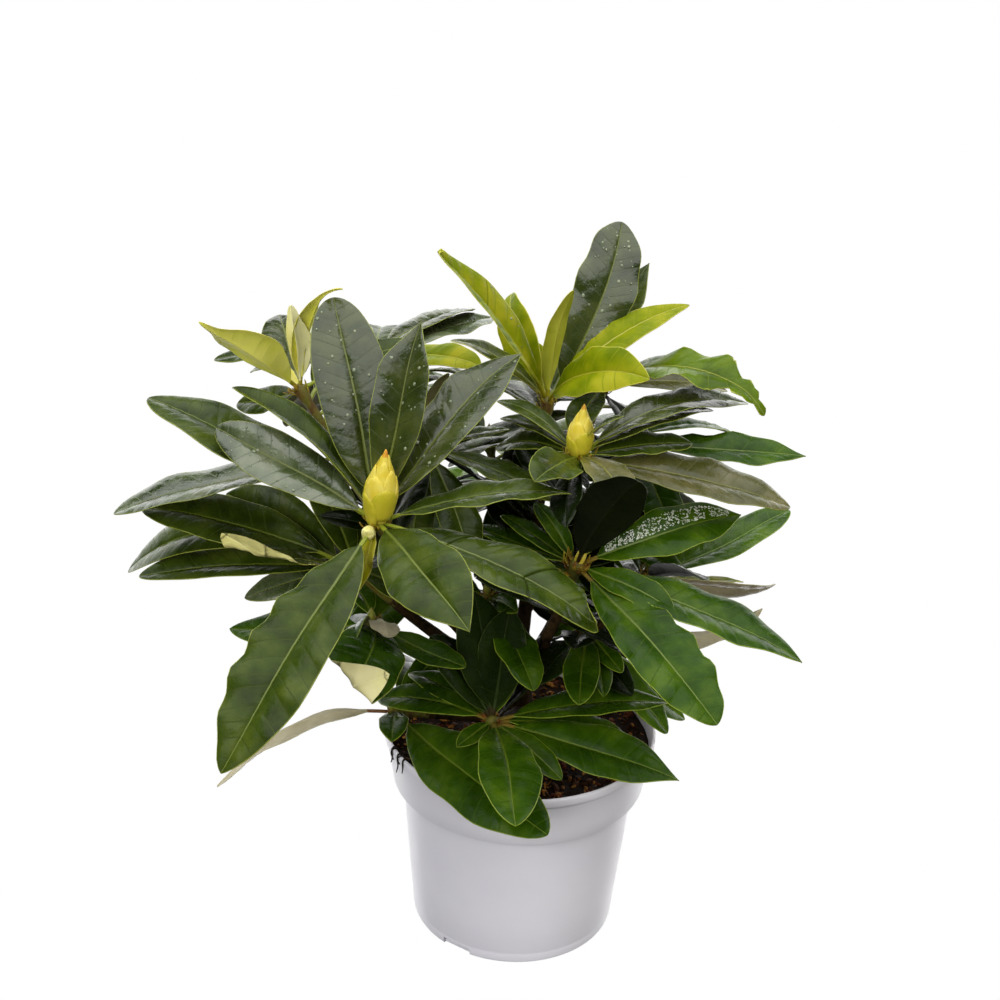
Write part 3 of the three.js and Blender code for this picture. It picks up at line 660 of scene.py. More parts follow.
class Leaf:
    """A leaf's middle surface: share runs from the stem to the tip, across from -1 to 1."""

    def __init__(self, base, heading, rise, length, width, extras, chance):
        self.base, self.length, self.width = base, length, width
        self.arch = extras.get("arch", 0.05)
        self.sway = extras.get("sway", 0)
        self.fold = math.radians(extras.get("fold", 10))
        self.curl = math.radians(extras.get("curl", chance.uniform(-16, 4)))
        self.curl_from = extras.get("curl_from", 0.72)
        self.twist = math.radians(extras.get("twist", chance.uniform(-9, 9)))
        self.point_out = extras.get("point", 0)
        self.roll = math.radians(extras.get("roll", 0))
        self.down = extras.get("down", 0)
        self.along = direction(heading, rise)
        self.level = direction(heading + 90, 0)
        self.upper = np.cross(self.along, self.level)
        self.wave = extras.get("wave", chance.uniform(0.02, 0.07))
        self.waves = extras.get("waves", chance.uniform(2.6, 4.2))
        self.phases = [chance.uniform(0, 2 * math.pi) for _ in range(5)]
        self.bulge = chance.uniform(0.03, 0.08)
        self.droop = chance.uniform(0.03, 0.09)
        self.sharp = extras.get("sharp", chance.uniform(0, 0.4))
        self.over = extras.get("over")
        self.torn = extras.get("torn", 0)

    def axes(self, share):
        """The side direction at each share, and the face before and after the tip's curl."""
        turn = (self.roll + self.twist * smooth(0.3, 1, share))[..., None]
        side = self.level * np.cos(turn) + self.upper * np.sin(turn)
        flat = self.upper * np.cos(turn) - self.level * np.sin(turn)
        bend = self.bend(share)[..., None]
        return side, flat, flat * np.cos(bend) - self.along * np.sin(bend)

    def bend(self, share):
        """How far the tip has curled at each share."""
        return self.curl * np.clip((share - self.curl_from) / (1 - self.curl_from), 0, 1)

    def half_width(self, share):
        along = along_blade(share)
        blade = self.width / 2 * swell(along) / swell(LEAF["widest"])
        uneven = sum(size * np.sin(often * share + phase)
                     for (size, often), phase in zip(UNEVEN, self.phases))
        uneven = uneven + 0.5 * self.wave * np.sin(2 * math.pi * self.waves * share + self.phases[3])
        stalk = lerp(LEAF["stalk_half"], LEAF["tip_half"], along ** 6)
        drawn = 1 - 0.86 * self.point_out * smooth(0.45, 0.9, along)
        drawn = drawn * np.clip((1 - along) / 0.3, 0, 1) ** (0.5 * self.sharp)
        bites = np.abs(np.sin(TORN["coarse"] * share + self.phases[2])) ** 3
        bites = bites + 0.6 * np.abs(np.sin(TORN["fine"] * share)) ** 4
        drawn = drawn * (1 - self.torn * bites * smooth(*TORN["start"], along))
        return np.maximum(blade * drawn * (1 + uneven), stalk)

    def rib(self, share):
        side, flat, _ = self.axes(share)
        bow = 4 * share * (1 - share) * self.length
        wander = 0.004 * self.length * np.sin(8 * share + self.phases[2]) * smooth(0.1, 0.4, share)
        past = np.maximum(share - self.curl_from, 0) * self.length
        turn = self.bend(share)
        ahead = np.minimum(share, self.curl_from) * self.length + past * np.sinc(turn / math.pi)
        lift = self.arch * bow + past * np.sin(turn / 2) * np.sinc(turn / 2 / math.pi)
        return (self.base + self.along * ahead[..., None] + flat * lift[..., None]
                + side * (self.sway * bow + wander)[..., None])

    def point(self, share, across, lift=0.0):
        """A point of the middle surface, lifted along the blade's face."""
        share, across = np.broadcast_arrays(np.asarray(share, float), np.asarray(across, float))
        side, _, face = self.axes(share)
        half = self.half_width(share)
        out = np.abs(across)
        blade = smooth(LEAF["petiole"], LEAF["petiole"] + 0.12, share)
        phase = np.where(across > 0, self.phases[3], self.phases[4])
        ripple = np.sin(2 * math.pi * self.waves * share + phase)
        height = half * (out * math.sin(self.fold)
                         + blade * (self.bulge * np.sin(math.pi * out) - self.droop * out ** 5
                                    + self.wave * out ** 2 * ripple))
        points = (self.rib(share) + side * (across * half * math.cos(self.fold))[..., None]
                  + face * (height + lift)[..., None])
        return self.turn_over(points) if self.over else points

    def turn_over(self, points):
        """The part past a slanting line rolled over onto the face, as the corner of a page is."""
        share, slant, turn, radius = self.over
        near = np.array([share - 0.01, share + 0.01])
        back, ahead = self.rib(near)
        along = unit(ahead - back)
        face = unit(np.cross(along, self.axes(np.asarray(share))[0]))
        side = np.cross(face, along)
        slant, turn = math.radians(slant), math.radians(turn)
        past = along * math.cos(slant) + side * math.sin(slant)
        beside = side * math.cos(slant) - along * math.sin(slant)
        middle = (back + ahead) / 2
        offset = points - middle
        far, over, height = offset @ past, offset @ beside, offset @ face
        angle = np.clip(far / radius, 0, turn)
        rest = np.maximum(far - radius * turn, 0)
        turned = (radius - height) * np.sin(angle) + rest * math.cos(turn)
        raised = radius - (radius - height) * np.cos(angle) + rest * math.sin(turn)
        rolled = middle + turned[..., None] * past + over[..., None] * beside + raised[..., None] * face
        return np.where((far > 0)[..., None], rolled, points)

    def corners(self, share):
        """The corners of the solids' leaf at a share of its length."""
        side = self.level * math.cos(self.roll) + self.upper * math.sin(self.roll)
        face = self.upper * math.cos(self.roll) - self.level * math.sin(self.roll)
        bow = 4 * share * (1 - share) * self.length
        rib = (self.base + self.along * share * self.length
               + face * self.arch * bow + side * self.sway * bow)
        half = self.width / 2 * swell(along_blade(share)) / swell(LEAF["widest"])
        lift = face * half * math.sin(self.fold)
        out = side * half * math.cos(self.fold)
        thick = face * self.length * LEAF["coarse"] / 2
        return [rib + out + lift, rib - out + lift, rib + thick, rib - thick]


# Rows from one side vein to the next, as shares of the way, with how far they lie up or down.
VEIN_ROWS = ((0, -1), (0.08, -1), (0.5, 0.8))
VEIN_ROWS_FINE = ((0, -1), (0.08, -1), (0.26, 0.1), (0.5, 0.8), (0.76, 0.1))
MARGIN_SHARE = 0.96                 # the margin's band starts here, roughly
TIP_ROWS = (0.3, 0.14, 0.04, 0)     # how far before the tip, as shares of the way between veins


def leaf_rows(leaf, pattern):
    """Shares of the length for the blade's rows, how many lie on the stalk, and their relief."""
    first = 0 if leaf.down else LEAF["seat"] / leaf.length
    blade = 1 - LEAF["petiole"]
    veins = max(4, round(blade * leaf.length / LEAF["vein_gap"]))
    gap = blade / veins
    wander = [LEAF["vein_wander"] * math.sin(2.4 * vein + leaf.phases[0]) * (vein > 0)
              for vein in range(veins)]
    body = [LEAF["petiole"] + (vein + way + wander[vein]) * gap
            for vein in range(veins) for way, _ in pattern]
    relief = [LEAF["vein_relief"] * height for _ in range(veins) for _, height in pattern]
    stalk = np.linspace(first, LEAF["petiole"], 5)[:-1]
    tip = 1 - gap * array(TIP_ROWS)
    relief = np.concatenate([0 * stalk, relief, 0 * tip])
    return np.concatenate([stalk, body, tip]), len(stalk), relief


def leaf_surface(leaf, pattern, between):
    """A leaf's points from above and from below, by row and column, and its rows on the stalk."""
    rows, stalk_rows, relief = leaf_rows(leaf, pattern)
    middle_share = np.linspace(0.05, MARGIN_SHARE, between + 1)
    columns = np.concatenate([[0], middle_share, [1]])
    along = along_blade(rows)
    slant = LEAF["slant"] * 4 * along * (1 - along) * (1 - LEAF["petiole"])
    share = np.minimum(rows[:, None] + slant[:, None] * columns, 1)
    half = leaf.half_width(share)
    rib_half = np.minimum(lerp(*LEAF["rib_half"], along)[:, None], LEAF["rib_most"] * half[:, :1])
    band = half[:, -2:-1] - np.minimum(LEAF["margin"], LEAF["margin_most"] * half[:, -2:-1])
    spaced = rib_half + (band - rib_half) * np.arange(1, between) / between
    reach = np.concatenate([0 * rib_half, rib_half, spaced, band, half[:, -1:]], axis=1)
    out = np.clip(reach / half, 0, 1)
    stalk = 1 - smooth(LEAF["petiole"] * 0.8, LEAF["petiole"] + 0.05, share)
    round_off = np.sqrt(np.maximum(1 - out ** 2, 0))
    # the side veins lie a little lower than the blade between them
    fade = np.sin(math.pi * columns) ** 0.6 * np.minimum(half / 12, 1)
    veins = relief[:, None] * fade * smooth(0, 0.08, along)[:, None]
    thin = LEAF["half_blade"] * (1 - 0.45 * out ** 4)
    at_rib, by_rib = columns == 0, columns == middle_share[0]
    gutter = LEAF["gutter"] * (1 - 0.6 * along)[:, None] * at_rib
    keel = (LEAF["keel"] * (1 - 0.8 * along))[:, None] * (at_rib + 0.45 * by_rib)
    top = lerp(thin - gutter, 1.1 * round_off + 0.1, stalk) + veins
    low = -lerp(thin + keel, 1.25 * round_off + 0.1, stalk) + veins

    def both_sides(values, sign=1):
        return np.concatenate([sign * values[:, :0:-1], values], axis=1)

    shares, across = both_sides(share), both_sides(out, sign=-1)
    tops, lows = (leaf.point(shares, across, both_sides(lift)) for lift in (top, low))
    return tops, lows, stalk_rows


def face_kinds(is_stalk, on_vein, near, middle):
    """What a face belongs to, from above and from below. near counts faces from the midrib."""
    if is_stalk:
        return "stalk", "stalk"
    if near < 1:
        return "rib", "underrib"
    if near > middle - 1:
        return "margin", "under"
    return "vein" if on_vein and near < 0.8 * middle else "top", "under"


def leaf_faces(count, width, stalk_rows, step):
    """The faces of a leaf with what each belongs to. A side vein comes every step rows."""
    under, middle = count * width, width // 2
    faces, kinds = [], []
    for row in range(count - 1):
        is_stalk = row < stalk_rows
        on_vein = (row - stalk_rows) % step == 0
        for column in range(width - 1):
            here, above = row * width + column, (row + 1) * width + column
            faces.append((here, above, above + 1, here + 1))
            faces.append((under + here, under + here + 1, under + above + 1, under + above))
            kinds += face_kinds(is_stalk, on_vein, abs(column + 0.5 - middle), middle)
        left, right = row * width, row * width + width - 1
        faces.append((left, under + left, under + left + width, left + width))
        faces.append((right, right + width, under + right + width, under + right))
        kinds += ["stalk" if is_stalk else "margin"] * 2
    for row, flip in ((0, False), (count - 1, True)):
        ring = list(range(row * width, (row + 1) * width))
        ring += [under + corner for corner in reversed(ring)]
        faces.append(tuple(reversed(ring)) if flip else tuple(ring))
        kinds.append("margin")
    return faces, kinds


def add_leaf(piece, leaf, look):
    pattern, between = (VEIN_ROWS_FINE, 10) if leaf.over else (VEIN_ROWS, 5)
    tops, lows, stalk_rows = leaf_surface(leaf, pattern, between)
    faces, kinds = leaf_faces(*tops.shape[:2], stalk_rows, len(pattern))
    points = np.concatenate([tops.reshape(-1, 3), lows.reshape(-1, 3)])
    piece.add(points, faces, [f"{look}_{kind}" for kind in kinds])


# Drops of water, painted pale as their highlight: the leaf they lie on, how many, their radii, and the part
# of the leaf.
DROPS = (
    ("front_left", 0, 26, (0.5, 1.3), (0.4, 0.95)),
    ("front_left", 1, 22, (0.5, 1.2), (0.3, 0.9)),
    ("front_left", 2, 26, (0.5, 1.4), (0.3, 0.95)),
    ("front_left", 3, 34, (0.4, 1.2), (0.4, 0.97)),
    ("top", 4, 34, (0.5, 1.4), (0.4, 0.95)),
    ("top", 0, 14, (0.4, 1.0), (0.3, 0.85)),
    ("right", 0, 700, (0.28, 0.7), (0.18, 0.93)),
)
GLITTER = {"band": (0.12, 0.72), "over": 100}        # more drops than this make a band of spray
DROP_RINGS = ((1, 0), (0.9, 0.24), (0.6, 0.42))      # radius and height, as shares of its radius
DROP = {"sides": 8, "crest": 0.5, "long": 1.15, "spread": (-0.85, 0.85), "near": (0.01, 0.05)}


def drop_shape(leaf, share, across, radius):
    """A flat drop on a leaf's face, a little longer along the leaf."""
    ahead_by, aside_by = DROP["near"]
    spot = leaf.point(share, across, LEAF["half_blade"] * 0.8)
    ahead = unit(leaf.point(share + ahead_by, across) - leaf.point(share - ahead_by, across))
    side = unit(leaf.point(share, across + aside_by) - leaf.point(share, across - aside_by))
    face = unit(np.cross(ahead, side))
    side = np.cross(face, ahead)
    points = []
    for out, height in DROP_RINGS:
        for angle in round_angles(DROP["sides"]):
            round_it = ahead * math.cos(angle) * DROP["long"] + side * math.sin(angle)
            points.append(spot + radius * (out * round_it + height * face))
    points.append(spot + radius * DROP["crest"] * face)
    sides, crest = DROP["sides"], len(points) - 1
    last_ring = crest - sides
    faces = grid_faces(len(DROP_RINGS), sides, closed=True)
    faces += [(last_ring + corner, last_ring + (corner + 1) % sides, crest) for corner in range(sides)]
    return points, faces


def make_drops(plant):
    drops = Piece()
    for name, place, count, radii, part in DROPS:
        leaf = plant[name][place][0]
        chance = random.Random(f"{name} {place} drops")
        spray = count > GLITTER["over"]
        for _ in range(count):
            share = chance.uniform(*part)
            across = chance.uniform(*(GLITTER["band"] if spray else DROP["spread"]))
            radius = lerp(*radii, chance.random() ** 2)
            drops.add(*drop_shape(leaf, share, across, radius), "spray" if spray else "drop")
    drops.build("drops", "leaf")


def leaf_base(name, down, limbs):
    if not down:
        return array(SHOOTS[name]["tip"])
    curve = limbs[name]["curve"]
    return curve.point(max(1 - (KNOB["rise"] + down) / curve.length, LIMB["share"]))


def spiral_leaves(name, spiral):
    """What the solids' golden spiral would grow, before it looks for room."""
    numbers = seeded(len(name) * SEED_STEP + spiral["count"])

    def vary(key):
        least, more = VARIETY[key]
        return least + more * next(numbers)

    for number in range(spiral["count"]):
        long = spiral["length"] * vary("length")
        heading = spiral["start"] + spiral.get("arc", 360) * ((number * GOLDEN_SHARE) % 1)
        rise = spiral["rise"] - number * spiral["fall"] + vary("rise")
        width = long * vary("width")
        extras = {"arch": vary("arch"), "roll": vary("roll"), "down": number * spiral["down"]}
        yield heading, rise, long, width, extras


def skin_of(node):
    """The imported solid's skin, to ask how near a point lies to it."""
    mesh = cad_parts[node].data
    return BVHTree.FromPolygons([corner.co for corner in mesh.vertices],
                                [face.vertices for face in mesh.polygons])


def lies_on(skin, leaf, close=0.06, enough=6):
    """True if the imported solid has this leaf: enough of its corners lie close to the skin, in mm."""
    corners = leaf.corners(0.6) + leaf.corners(0.87)
    near = [skin.find_nearest(Vector(corner * MM))[3] / MM < close for corner in corners]
    return sum(near) >= enough


def grow_leaves(name, limbs):
    """Every leaf of a shoot as (leaf, look): those of its list, then those of its spiral."""
    shoot = SHOOTS[name]
    grown = []
    for number, (*sizes, extras) in enumerate(shoot["leaves"]):
        chance = random.Random(f"{name} {number}")
        leaf = Leaf(leaf_base(name, extras.get("down", 0), limbs), *sizes, extras, chance)
        grown.append((leaf, shoot.get("looks", {}).get(number, shoot["look"])))
    if "spiral" not in shoot:
        return grown
    skin = skin_of(f"foliage_{name}")
    for number, (heading, rise, length, width, extras) in enumerate(spiral_leaves(name, shoot["spiral"])):
        for turn, lift, size in ATTEMPTS:
            chance = random.Random(f"{name} spiral {number}")
            base = leaf_base(name, extras["down"], limbs)
            leaf = Leaf(base, heading + turn, rise + lift, length * size, width * size, extras, chance)
            if lies_on(skin, leaf):
                grown.append((leaf, shoot["look"]))
                break
    return grown


# ---------------------------------------------------------------- older leaves inside the crown
def skin_of_leaf(leaf, first=0.2):
    """A coarse skin of a leaf's blade, to ask what it touches."""
    rings = np.array([leaf.corners(share) for share in (first, 0.4, 0.6, 0.8, 0.97)])
    rings = rings[:, [0, 2, 1, 3]].reshape(-1, 3) * MM
    faces = grid_faces(5, 4, closed=True)
    return BVHTree.FromPolygons([tuple(point) for point in rings], faces)


def sight_lines():
    """Lines from the camera through the crown's openings, as (eye, direction)."""
    eye, turn = camera_place()
    focal = CAMERA["lens"] / CAMERA["sensor"] * PICTURE
    lines = []
    for x, y, reach in OPENINGS.values():
        for across, down in PROBES:
            spot = Vector((x + across * reach - PICTURE / 2, PICTURE / 2 - y - down * reach, -focal))
            lines.append((eye, (turn @ spot).normalized()))
    return lines


def inside_heart(point):
    return np.linalg.norm((point - array(HEART["centre"])) / array(HEART["reach"])) < 1


def grow_standing(limbs, plant):
    """The leaves in front of the stems, painted dark as shade. Returns their skins."""
    skins = []
    for number, (name, *sizes, extras) in enumerate(STANDING):
        chance = random.Random(f"standing {number}")
        leaf = Leaf(leaf_base(name, extras.get("down", 0), limbs), *sizes, extras, chance)
        plant[name].append((leaf, "dim"))
        skins.append(skin_of_leaf(leaf, first=0.3))
    return skins


def grow_inner(limbs, plant):
    """Older leaves down each limb, wherever they have room inside the crown, painted near-black as shade."""
    taken = [skin_of(node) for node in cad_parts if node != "soil"]
    taken += grow_standing(limbs, plant)
    lines = sight_lines()
    for name in SHOOTS:
        chance = random.Random(f"{name} inner")
        curve = limbs[name]["curve"]
        for number in range(HEART["tries"]):
            base = curve.point(1 - (number + 1) / (HEART["tries"] + 1) * HEART["down"])
            heading = HEART["turn"] * number + chance.uniform(*HEART["scatter"])
            rise = chance.uniform(*HEART["rise"])
            length = chance.uniform(*HEART["length"])
            width = length * chance.uniform(*HEART["width"])
            extras = {"down": 1, "roll": chance.uniform(*HEART["roll"])}
            leaf = Leaf(base, heading, rise, length, width, extras, chance)
            if not all(inside_heart(leaf.rib(np.asarray(at))) for at in (0.5, 1.0)):
                continue
            skin = skin_of_leaf(leaf)
            if any(skin.ray_cast(eye, way)[0] is not None for eye, way in lines):
                continue
            if any(skin.overlap(other) for other in taken):
                continue
            taken.append(skin)
            plant[name].append((leaf, "shade"))


# ---------------------------------------------------------------- stems, buds and bracts
def bark_tube(kind, seed, points, radii):
    """A limb with furrows along its bark, and with a little unevenness all over."""
    depth, sides, coarse = BARK_OF[kind]

    def bumps(place, ring, angles):
        values = []
        for point, angle in zip(ring, angles):
            along = place * BARK["along"] + seed
            furrow = abs(noise.noise(Vector((math.cos(angle) * coarse, math.sin(angle) * coarse, along))))
            fine = noise.noise(Vector(point) * BARK["fine"])
            level = BARK["level"]
            values.append(1 + depth * (level - furrow * BARK["furrow"]) + level * depth * fine)
        return array(values)

    return tube(points, radii, sides, bumps)


def make_wood(limbs):
    wood = Piece()
    for number, (name, limb) in enumerate(limbs.items()):
        is_trunk = name == "trunk"
        curve = limb["curve"]
        end = limb["end"] + (0 if is_trunk else LIMB["overlap"])
        shares = np.linspace(0, end, max(8, round(curve.length * end / LIMB["ring_gap"])))
        points = [curve.point(share) for share in shares]
        radii = [limb["radius"](share) for share in shares]
        if is_trunk:
            points[0] = points[0] - array([0, 0, TRUNK["sunk"]])
        kind = "trunk" if is_trunk else "bough"
        wood.add(*bark_tube(kind, number * BARK["seed_step"], points, radii), "bark")
    boughs = [f"bough_{name}" for name in SHOOTS]
    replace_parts(wood.build("wood", "bark"), "trunk", *boughs)


def young_stem(limb, rings=26):
    """The young end of a shoot, swelling where the petioles crowd, as points and radii."""
    curve = limb["curve"]
    swelling = [(1 - below / curve.length, radius) for below, radius in KNOB["rings"]]
    start = LIMB["share"] - LIMB["tuck"]
    knots = [(start, limb["radius"](start))] + [knot for knot in swelling if knot[0] > start]
    shares = np.linspace(start, 1, rings)
    return [curve.point(share) for share in shares], np.interp(shares, *zip(*knots))


def shell(rows, columns, place):
    """A thin closed shell. place gives a point of its outer (1) or inner (0) layer, at a share
    along it and from -1 to 1 across it."""
    points = [place(outer, row / (rows - 1), 2 * column / (columns - 1) - 1)
              for outer in (1, 0) for row in range(rows) for column in range(columns)]
    under = rows * columns
    faces = [face[::-1] for face in grid_faces(rows, columns)]
    faces += grid_faces(rows, columns, start=under)
    for row in range(rows - 1):
        left, right = row * columns, row * columns + columns - 1
        faces.append((left, under + left, under + left + columns, left + columns))
        faces.append((right, right + columns, under + right + columns, under + right))
    for column in range(columns - 1):
        low, high = column, (rows - 1) * columns + column
        faces.append((low, low + 1, under + low + 1, under + low))
        faces.append((high, under + high, under + high + 1, high + 1))
    return points, faces


BRACTS = {"knob": (11, 7.0), "bud": (14, 11.0)}      # how many there are, and how long in mm
# Shares of a bract's length or width, then its thickness and how far out it stands, in mm.
BRACT = {"width": 0.3, "bow": 0.12, "hug": 0.1, "cup": 0.16, "thick": 0.25, "out": 3.6}


def bract_shape(foot, up, out, length):
    """A narrow ovate scale that stands at foot and points up."""
    side = np.cross(up, out)
    width = length * BRACT["width"]

    def place(outer, along, across):
        half = width / 2 * max(math.sin(math.pi * (0.18 + 0.8 * along)) ** 0.8, 0.03)
        belly = math.sin(math.pi * along) * BRACT["bow"] * length - BRACT["hug"] * length * along ** 2
        cup = (1 - across ** 2) * width * BRACT["cup"]
        layer = (outer - 0.5) * BRACT["thick"]
        return foot + up * along * length + side * across * half + out * (belly + cup + layer)

    return shell(5, 3, place)


def add_bracts(piece, tip, axis, kind, chance, look):
    """Narrow leftover bud scales that stand round a knob or a bud."""
    count, length = BRACTS[kind]
    first = unit(np.cross(axis, [0.3, 1, 0]))
    second = np.cross(axis, first)
    for number in range(count):
        angle = number * 2 * math.pi * GOLDEN_SHARE + chance.uniform(-0.3, 0.3)
        out = first * math.cos(angle) + second * math.sin(angle)
        up = unit(axis * chance.uniform(0.35, 1) + out * chance.uniform(0.3, 0.9))
        foot = tip + out * BRACT["out"] + axis * chance.uniform(-5, 2)
        long = length * chance.uniform(0.6, 1.3)
        piece.add(*bract_shape(foot, up, unit(out - out.dot(up) * up), long), look)


# A bud's radius along it, as shares of its length and of its greatest radius.
BUD_OUTLINE = ((0, 0.2, 0.41, 0.55, 0.68, 0.85, 0.94, 1), (0.5, 0.86, 1, 0.9, 0.68, 0.34, 0.16, 0.05))
# The heart under the scales, and the scales' lift and thickness, as shares of the bud's radius.
BUD = {"rings": 24, "sides": 20, "tip_from": 21, "heart": 0.94, "seat": 0.93, "step": 0.012,
       "thick": 0.04, "first_turn": 0.6, "low": 0.25}


def bud_outline(share):
    return float(np.interp(share, *BUD_OUTLINE))


def bud_scale(spot, ends, angle, spread, lift, thick):
    """A scale that hugs the bud. spot gives a point at a share, an angle and a height off it."""
    def place(outer, along, across):
        half = spread * math.sqrt(max(1 - along ** 2.6, 0.002))
        edge = 1 - 0.5 * max(abs(across), along) ** 4
        ridge = 0.25 * (1 - abs(across)) * along
        return spot(lerp(*ends, along), angle + across * half, lift + outer * thick * edge + ridge)

    return shell(8, 9, place)


def add_bud(piece, base, bud, kind):
    """A plump bud: a smooth heart with broad overlapping scales on it, the lowest outermost."""
    axis = unit(array([*(math.tan(math.radians(degrees)) for degrees in bud["lean"]), 1]))
    first = unit(np.cross(axis, [0.1, 1, 0]))
    second = np.cross(axis, first)
    length, radius, count = bud["length"], bud["radius"], bud["scales"]

    def spot(share, angle, height):
        out = first * math.cos(angle) + second * math.sin(angle)
        return base + axis * share * length + out * (radius * bud_outline(share) * BUD["seat"] + height)

    shares = np.linspace(0, 1, BUD["rings"])
    heart = [base + axis * share * length for share in shares]
    radii = [radius * bud_outline(share) * BUD["heart"] for share in shares]
    points, faces = tube(heart, radii, BUD["sides"])
    tip = BUD["tip_from"] * BUD["sides"]
    piece.add(points, faces, [f"{kind}_tip" if min(face) >= tip else f"{kind}_scale" for face in faces])
    for number in range(count):
        level = number / count
        ends = (0.6 * level, lerp(0.44, 0.97, level ** 0.8))
        angle = number * 2 * math.pi * GOLDEN_SHARE + BUD["first_turn"]
        lift = BUD["step"] * radius * (count - number)
        scale = bud_scale(spot, ends, angle, lerp(1.05, 0.95, level), lift, BUD["thick"] * radius)
        piece.add(*scale, f"{kind}_low" if level < BUD["low"] else f"{kind}_scale")


def make_shoot(name, limbs, grown):
    """A shoot's young stem, its bud and its leaves, which stand for the mass of leaves."""
    limb = limbs[name]
    chance = random.Random(f"{name} stem")
    stem = Piece()
    stem.add(*bark_tube("stem", len(name), *young_stem(limb)), "twig")
    tip = array(SHOOTS[name]["tip"])
    axis = limb["curve"].tangent(1)
    look = "bract_warm" if SHOOTS[name]["look"] == "deep" else "bract"
    add_bracts(stem, tip, axis, "knob", chance, look)
    if name in BUDS:
        add_bud(stem, tip, BUDS[name], "bud")
        add_bracts(stem, tip, axis, "bud", chance, "bract")
    elif name not in BUDLESS:
        add_bud(stem, tip + axis * SMALL_BUD["above"], SMALL_BUD, "leafbud")
    if name == "front_left":
        add_bud(stem, tip + array(SIDE_BUD_OFFSET), SIDE_BUD, "side_bud")
    stem.build(f"stem_{name}", "leaf")
    leaves = Piece()
    for leaf, kind in grown:
        add_leaf(leaves, leaf, kind)
    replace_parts(leaves.build(f"leaves_{name}", "leaf"), f"foliage_{name}")


# ---------------------------------------------------------------- pot and soil
def pot_inner(height):
    step = POT["height"] - POT["collar_height"]
    if height > step:
        outside = lerp(POT["collar_foot"], POT["rim_radius"], (height - step) / POT["collar_height"])
    else:
        outside = lerp(POT["base_radius"], POT["body_top"], height / step)
    return outside - POT["wall"]


def pot_profile():
    """The pot's section, from the edge of its underside round to the edge of its floor inside."""
    step = POT["height"] - POT["collar_height"]
    base, base_edge, floor = POT["base_radius"], POT["base_edge"], POT["base_thickness"]
    body, collar, ring = POT["body_top"], POT["collar_foot"], POT["foot_ring"]
    top, rim, edge = POT["height"], POT["rim_radius"], POT["rim_edge"]
    slope = (body - base) / step
    outer = [(base - base_edge, 0)]
    outer += [(base - base_edge * (1 - math.sin(turn)), base_edge * (1 - math.cos(turn)))
              for turn in np.linspace(0.3, math.pi / 2, 5)]
    outer += [(base + slope * height - inset, height)
              for height, inset in ((ring - 0.6, 0), (ring, POT["foot_ring_depth"]), (ring + 0.6, 0))]
    outer += [(base + slope * height, height) for height in (35, 60, 85, step - 6)]
    outer += [(body - 0.15, step - 2), (body + 0.2, step - 0.8), (body + 1, step - 0.1),
              (collar - 1, step), (collar - 0.3, step + 0.25), (collar, step + 0.9)]
    low = top - POT["rim_band"] - edge
    outer += [(lerp(collar, rim - POT["rim_step"], share), lerp(step + 0.9, low - 1, share))
              for share in (0.33, 0.66, 1)]
    outer += [(rim - POT["rim_step"] * 0.8, low), (rim - 0.3, low + 1), (rim, low + 1.7), (rim, top - edge)]
    outer += [(rim - edge * (1 - math.cos(turn)), top - edge * (1 - math.sin(turn)))
              for turn in np.linspace(0.4, math.pi / 2, 4)]
    inner = [(pot_inner(top) + 0.5, top), (pot_inner(top), top - 0.6)]
    inner += [(pot_inner(height), height)
              for height in (140, 125, step + POT["wall"], step, 70, 30, floor + 1)]
    return [*outer, *inner, (pot_inner(floor) - 1, floor)]


def make_pot():
    profile, sides = pot_profile(), POT["segments"]
    points = [point for radius, height in profile for point in circle(radius, height, sides)]
    pot, cutter, tabs = Piece(), Piece(), Piece()
    pot.add(points, ring_faces(len(profile), sides), "pot")
    near, far = (POT["base_radius"] + sign * POT["notch_depth"] / 2 for sign in (-1, 1))
    back = POT["base_radius"] - POT["tab_back"]
    half = POT["notch_width"] / 2
    for number in range(POT["notches"]):
        turn = POT["notch_turn"] + number * 360 / POT["notches"]
        cutter.add(*box_shape(turn, (near, far), (-half, half), (-5, POT["notch_height"])), "pot")
        tabs.add(*box_shape(turn, (back - POT["tab_thickness"], back), (half - POT["tab_width"], half),
                            (POT["tab_foot"], POT["tab_height"])), "pot")
    piece = pot.build("pot_shell", "pot")
    cut_away(piece, cutter.build("notch_tool", "pot"))
    piece.data.set_sharp_from_angle(angle=math.radians(POT["sharp_angle"]))
    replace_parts(piece, "pot")
    flat = tabs.build("pot_tabs", "pot").data.polygons
    flat.foreach_set("use_smooth", [False] * len(flat))


def box_shape(heading, radii, across, heights):
    """A box that stands between two radii, two distances across and two heights."""
    out = direction(heading, 0)
    side = np.cross([0, 0, 1], out)
    (near, far), (left, right) = radii, across
    corners = [out * radius + side * offset + array([0, 0, height]) for height in heights
               for radius, offset in ((near, left), (far, left), (far, right), (near, right))]
    return corners, ring_faces(2, 4)


def cut_away(piece, tool):
    """Takes the tool's shape out of a piece for good."""
    cut = piece.modifiers.new("cut", "BOOLEAN")
    cut.operation, cut.solver, cut.object = "DIFFERENCE", "EXACT", tool
    graph = bpy.context.evaluated_depsgraph_get()
    mesh = bpy.data.meshes.new_from_object(piece.evaluated_get(graph))
    piece.modifiers.clear()
    piece.data = mesh
    mesh.polygons.foreach_set("use_smooth", [True] * len(mesh.polygons))
    bpy.data.objects.remove(tool)


def soil_height(x, y):
    crown = SOIL["crown"] * max(0, 1 - math.hypot(x, y) / SOIL["crown_reach"])
    spot = Vector((x, y, SOIL["waves_seed"]))
    rough = sum(share * noise.noise(spot * fine) for fine, share in SOIL["waves"])
    return SOIL["level"] - SOIL["sink"] + crown + SOIL["relief"] * rough


